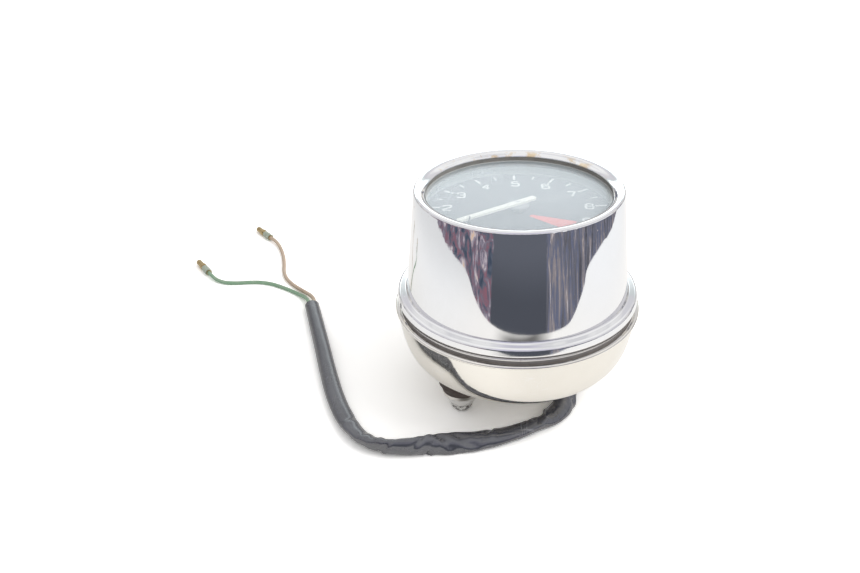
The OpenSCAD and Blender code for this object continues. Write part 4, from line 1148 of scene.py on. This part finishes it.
# Painted shade along the middle of the sheet's front edge
EDGE_PAINTED_SHADE, EDGE_MIDDLE_MM, EDGE_SIDE_MM = 0.84, 12, (22, 85)
EDGE_BACK_MM, EDGE_FRONT_MM = (-160, -148), (-184, -174)
# Painted light near the gauge's left side
NEAR_LIGHT, NEAR_AWAY_MM, NEAR_X_MM = 0.12, (80, 140), (-30, 20)
# The floor's tint in the plating, near the middle and out at the sides
WARM_MIDDLE, COOL_SIDES, SIDES_MM = (1.0, 0.99, 0.975), (0.98, 1.0, 1.03), (60, 260)

# Where the soft light comes from, and the world's light away from there and towards there
LIGHT_FROM = (0.72, -0.55, 0.42)
WORLD_LOW, WORLD_HIGH = 0.52, 1.16
# Sky that only mirror-like reflections see: grey low down, grey in front of the gauge and in
# patches, and the values between which each comes in
SKY_LOW, LOW_ENDS = (0.76, 0.75, 0.78), (0.50, 0.64)
SKY_AHEAD, AHEAD, AHEAD_ENDS = (0.66, 0.64, 0.78), (0.05, -0.87, 0.49), (0.82, 0.97)
SKY_PATCH, PATCH_SHARE, PATCH_ENDS = (0.60, 0.60, 0.66), 0.45, (0.42, 0.60)
# The lamp over the gauge's right side
SOFTBOX_AT, SOFTBOX_AIM = Vector((0.75, -0.25, 1.0)), Vector((0, 0, 0.04))
SOFTBOX_SIZE, SOFTBOX_POWER = 0.7, 5.0


def floor_tint(tree, mirrored):
    """Tint that the floor takes on in the plating."""
    sides = map_mm(tree, apart(tree, axes(tree)[0]), *SIDES_MM)
    return mix_colour(tree, mirrored, WHITE, mix_colour(tree, sides, WARM_MIDDLE, COOL_SIDES))


def floor_change(tree):
    """Shares by which parts of the floor are lighter or darker in the plating: painted light and
    shade.
    """
    x, y, _ = axes(tree)
    away = from_axis(tree)
    left = times(tree, map_mm(tree, away, *LEFT_AWAY_MM, 0.0, LEFT_PAINTED_SHADE),
                 map_mm(tree, x, *LEFT_X_MM, 1.0, 0.0))
    right = map_mm(tree, x, *RIGHT_X_MM, 0.0, RIGHT_PAINTED_SHADE)
    off_middle = apart(tree, x, EDGE_MIDDLE_MM * MM)
    edge = times(tree, map_mm(tree, off_middle, *EDGE_SIDE_MM, EDGE_PAINTED_SHADE, 0.0),
                 times(tree, map_mm(tree, y, *EDGE_BACK_MM, 1.0, 0.0),
                       map_mm(tree, y, *EDGE_FRONT_MM, 0.5, 1.0)))
    near = times(tree, map_mm(tree, away, *NEAR_AWAY_MM, NEAR_LIGHT, 0.0),
                 map_mm(tree, x, *NEAR_X_MM, 1.0, 0.0))
    return minus(tree, near, larger(tree, larger(tree, left, right), edge))


def floor_material():
    """The pale sheet under the gauge."""
    material, tree, sockets = new_material("pale floor", Roughness=0.9, Specular_IOR_Level=0.1)
    tone = place(tree, MOTTLING, Light=FLOOR_LIGHT, Dark=FLOOR_DARK, Scale=5.0, Contrast=2.0)
    path = tree.nodes.new("ShaderNodeLightPath").outputs
    mirrored = path["Is Glossy Ray"]
    seen = map_range(tree, path["Is Camera Ray"], 0.0, 1.0, 1.0, FLOOR_SEEN, "LINEAR")
    boost = times(tree, seen, plus(tree, 1.0, times(tree, floor_change(tree), mirrored)))
    tinted = mix_colour(tree, 1.0, tone["Colour"], floor_tint(tree, mirrored), "MULTIPLY")
    bright = add_node(tree, "ShaderNodeVectorMath", operation="SCALE", inputs={
        0: tinted, "Scale": boost})
    feed(tree, sockets, Base_Color=bright.outputs[0])
    return material


def make_floor():
    corners = ((-1, -1), (1, -1), (1, 1), (-1, 1))
    verts = [(x * FLOOR_HALF, y * FLOOR_HALF, 0) for x, y in corners]
    link_mesh("floor", verts, [(0, 1, 2, 3)], floor_material())


def ramp(tree, value, stops):
    """Colours at places along a value."""
    node = add_node(tree, "ShaderNodeValToRGB", inputs={0: value})
    elements = node.color_ramp.elements
    for element, (position, colour) in zip(elements, (stops[0], stops[-1])):
        element.position, element.color = position, (*colour, 1)
    for position, colour in stops[1:-1]:
        elements.new(position).color = (*colour, 1)
    return node.outputs[0]


def glow(name):
    """A material that only gives off light, its node tree and the sockets of its light."""
    material = bpy.data.materials.new(name)
    material.use_nodes = True
    tree = material.node_tree
    tree.nodes.remove(tree.nodes["Principled BSDF"])
    light = add_node(tree, "ShaderNodeEmission", inputs={"Strength": 1.0})
    tree.links.new(light.outputs[0], tree.nodes["Material Output"].inputs["Surface"])
    return material, tree, light.inputs


def only_mirrored(piece):
    """Hides a piece of the stage from all but mirror-like reflections."""
    piece.visible_camera = False
    piece.visible_diffuse = False
    piece.visible_transmission = False
    piece.visible_shadow = False


def make_screen(name, feet_mm, heights_mm, material):
    """An upright screen along points of the floor."""
    verts, faces = [], []
    for i, (foot, height) in enumerate(zip(feet_mm, heights_mm)):
        verts += [foot * MM, (foot + Vector((0, 0, height))) * MM]
        if i:
            faces.append((2 * i - 2, 2 * i, 2 * i + 1, 2 * i - 1))
    only_mirrored(link_mesh(name, verts, faces, material, smooth=False))


def room_material():
    """A dim cluttered room: a slate screen in the middle, muted shapes left of it and shelves
    right of it."""
    material, tree, light = glow("dim room")
    x, _, z = axes(tree)
    heaps = ramp(tree, noise(tree, 1.0, 3, 0.6, stretched(tree, 26, 26, 60), 1.2), HEAPS)
    shelves = ramp(tree, noise(tree, 1.0, 4, 0.7, stretched(tree, 80, 80, 20), 0.5), SHELVES)
    clutter = mix_colour(tree, map_mm(tree, x, 0, 10), heaps, shelves)
    slate = mix_colour(tree, map_mm(tree, z, *SLATE_Z_MM), SLATE_LOW, SLATE_HIGH)
    middle = times(tree, map_mm(tree, x, *SLATE_LEFT_MM),
                   map_mm(tree, x, *SLATE_RIGHT_MM, 1.0, 0.0))
    feed(tree, light, Color=mix_colour(tree, middle, clutter, slate))
    return material


def make_room():
    """The room's screen along the sheet's edge, lower at its ends and uneven along its top."""
    generator = random.Random(7)
    path = smooth_path([(x, y, 0) for x, y in SHEET_EDGE_MM], 14)
    heights = []
    for point in path:
        share = ROOM_END_SHARE + (1 - ROOM_END_SHARE) * max(0.0, 1 - abs(point.x) / ROOM_END_MM)
        heights.append(ROOM_HEIGHT_MM * share * generator.uniform(0.9, 1.1))
    make_screen("room_screen", path, heights, room_material())


def make_back_screen():
    """Low dim clutter far behind the gauge, for the thin dark reflections along the rim."""
    material, tree, light = glow("back clutter")
    shapes = noise(tree, 1.0, 3, 0.6, stretched(tree, 9, 9, 9), 1.0)
    colour = mix_colour(tree, map_range(tree, shapes, 0.36, 0.62), BACK_DARK, BACK_LIGHT)
    feed(tree, light, Color=colour)
    feet = [Vector((*point, 0)) for point in arc(0, 0, BACK_AWAY_MM, 15, 165, BACK_STEPS)]
    make_screen("back_screen", feet, [BACK_HEIGHT_MM] * len(feet), material)


def make_bright_wall():
    """Bright wall behind the gauge. It lays the pale veil over the glass and the sharp lights
    along the sleeve."""
    material, tree, light = glow("bright wall")
    x, _, z = axes(tree)
    fade = times(tree, map_mm(tree, apart(tree, x), *WALL_SIDE_MM, 1.0, 0.0),
                 times(tree, map_mm(tree, z, *WALL_LOW_MM),
                       map_mm(tree, z, *WALL_HIGH_MM, 1.0, 0.0)))
    light["Color"].default_value = WALL_COLOUR
    feed(tree, light, Strength=mix_value(tree, fade, WALL_DIM, WALL_LIGHT))
    corners = [mm(side * WALL_HALF_MM, WALL_AWAY_MM, height) for side, height in (
        (-1, WALL_FOOT_MM), (1, WALL_FOOT_MM), (1, WALL_TOP_MM), (-1, WALL_TOP_MM))]
    only_mirrored(link_mesh("bright_wall", corners, [(0, 1, 2, 3)], material, smooth=False))


def make_softbox():
    """A large soft lamp over the gauge's right side, which reflections don't show."""
    data = bpy.data.lights.new("overhead softbox", "AREA")
    data.shape = "DISK"
    data.size = SOFTBOX_SIZE
    data.energy = SOFTBOX_POWER
    lamp = bpy.data.objects.new("overhead softbox", data)
    bpy.context.scene.collection.objects.link(lamp)
    lamp.location = SOFTBOX_AT
    lamp.visible_glossy = False
    lamp.rotation_mode = "QUATERNION"
    lamp.rotation_quaternion = (SOFTBOX_AIM - SOFTBOX_AT).to_track_quat("-Z", "Y")


def pointing(tree, direction, aim):
    """How nearly a direction points to an aim, 1 at most."""
    return add_node(tree, "ShaderNodeVectorMath", operation="DOT_PRODUCT", inputs={
        0: direction, 1: aim}).outputs["Value"]


def make_world():
    """White surroundings. Light falls mostly from the right and front; mirrors see a greyer sky
    low down and in front, as in a room."""
    world = bpy.data.worlds.new("white room")
    bpy.context.scene.world = world
    world.use_nodes = True
    tree = world.node_tree
    direction = tree.nodes.new("ShaderNodeTexCoord").outputs["Generated"]
    lighting = map_range(tree, pointing(tree, direction, LIGHT_FROM), -0.5, 1.0,
                         WORLD_LOW, WORLD_HIGH)
    high = map_range(tree, axes(tree, direction)[2], *LOW_ENDS)
    ahead = map_range(tree, pointing(tree, direction, AHEAD), *AHEAD_ENDS)
    patches = map_range(tree, noise(tree, 2.6, 2, 0.5, direction), *PATCH_ENDS)
    sky = mix_colour(tree, high, SKY_LOW, WHITE)
    sky = mix_colour(tree, ahead, sky, SKY_AHEAD)
    sky = mix_colour(tree, times(tree, patches, PATCH_SHARE), sky, SKY_PATCH)
    path = tree.nodes.new("ShaderNodeLightPath").outputs
    mirrored = path["Is Glossy Ray"]
    seen = larger(tree, path["Is Camera Ray"], path["Is Transmission Ray"])
    feed(tree, tree.nodes["Background"].inputs, Color=mix_colour(tree, mirrored, WHITE, sky),
         Strength=mix_value(tree, larger(tree, seen, mirrored), lighting, 1.0))


make_floor()
make_room()
make_back_screen()
make_bright_wall()
make_world()
make_softbox()
bpy.context.scene.view_settings.view_transform = "Standard"
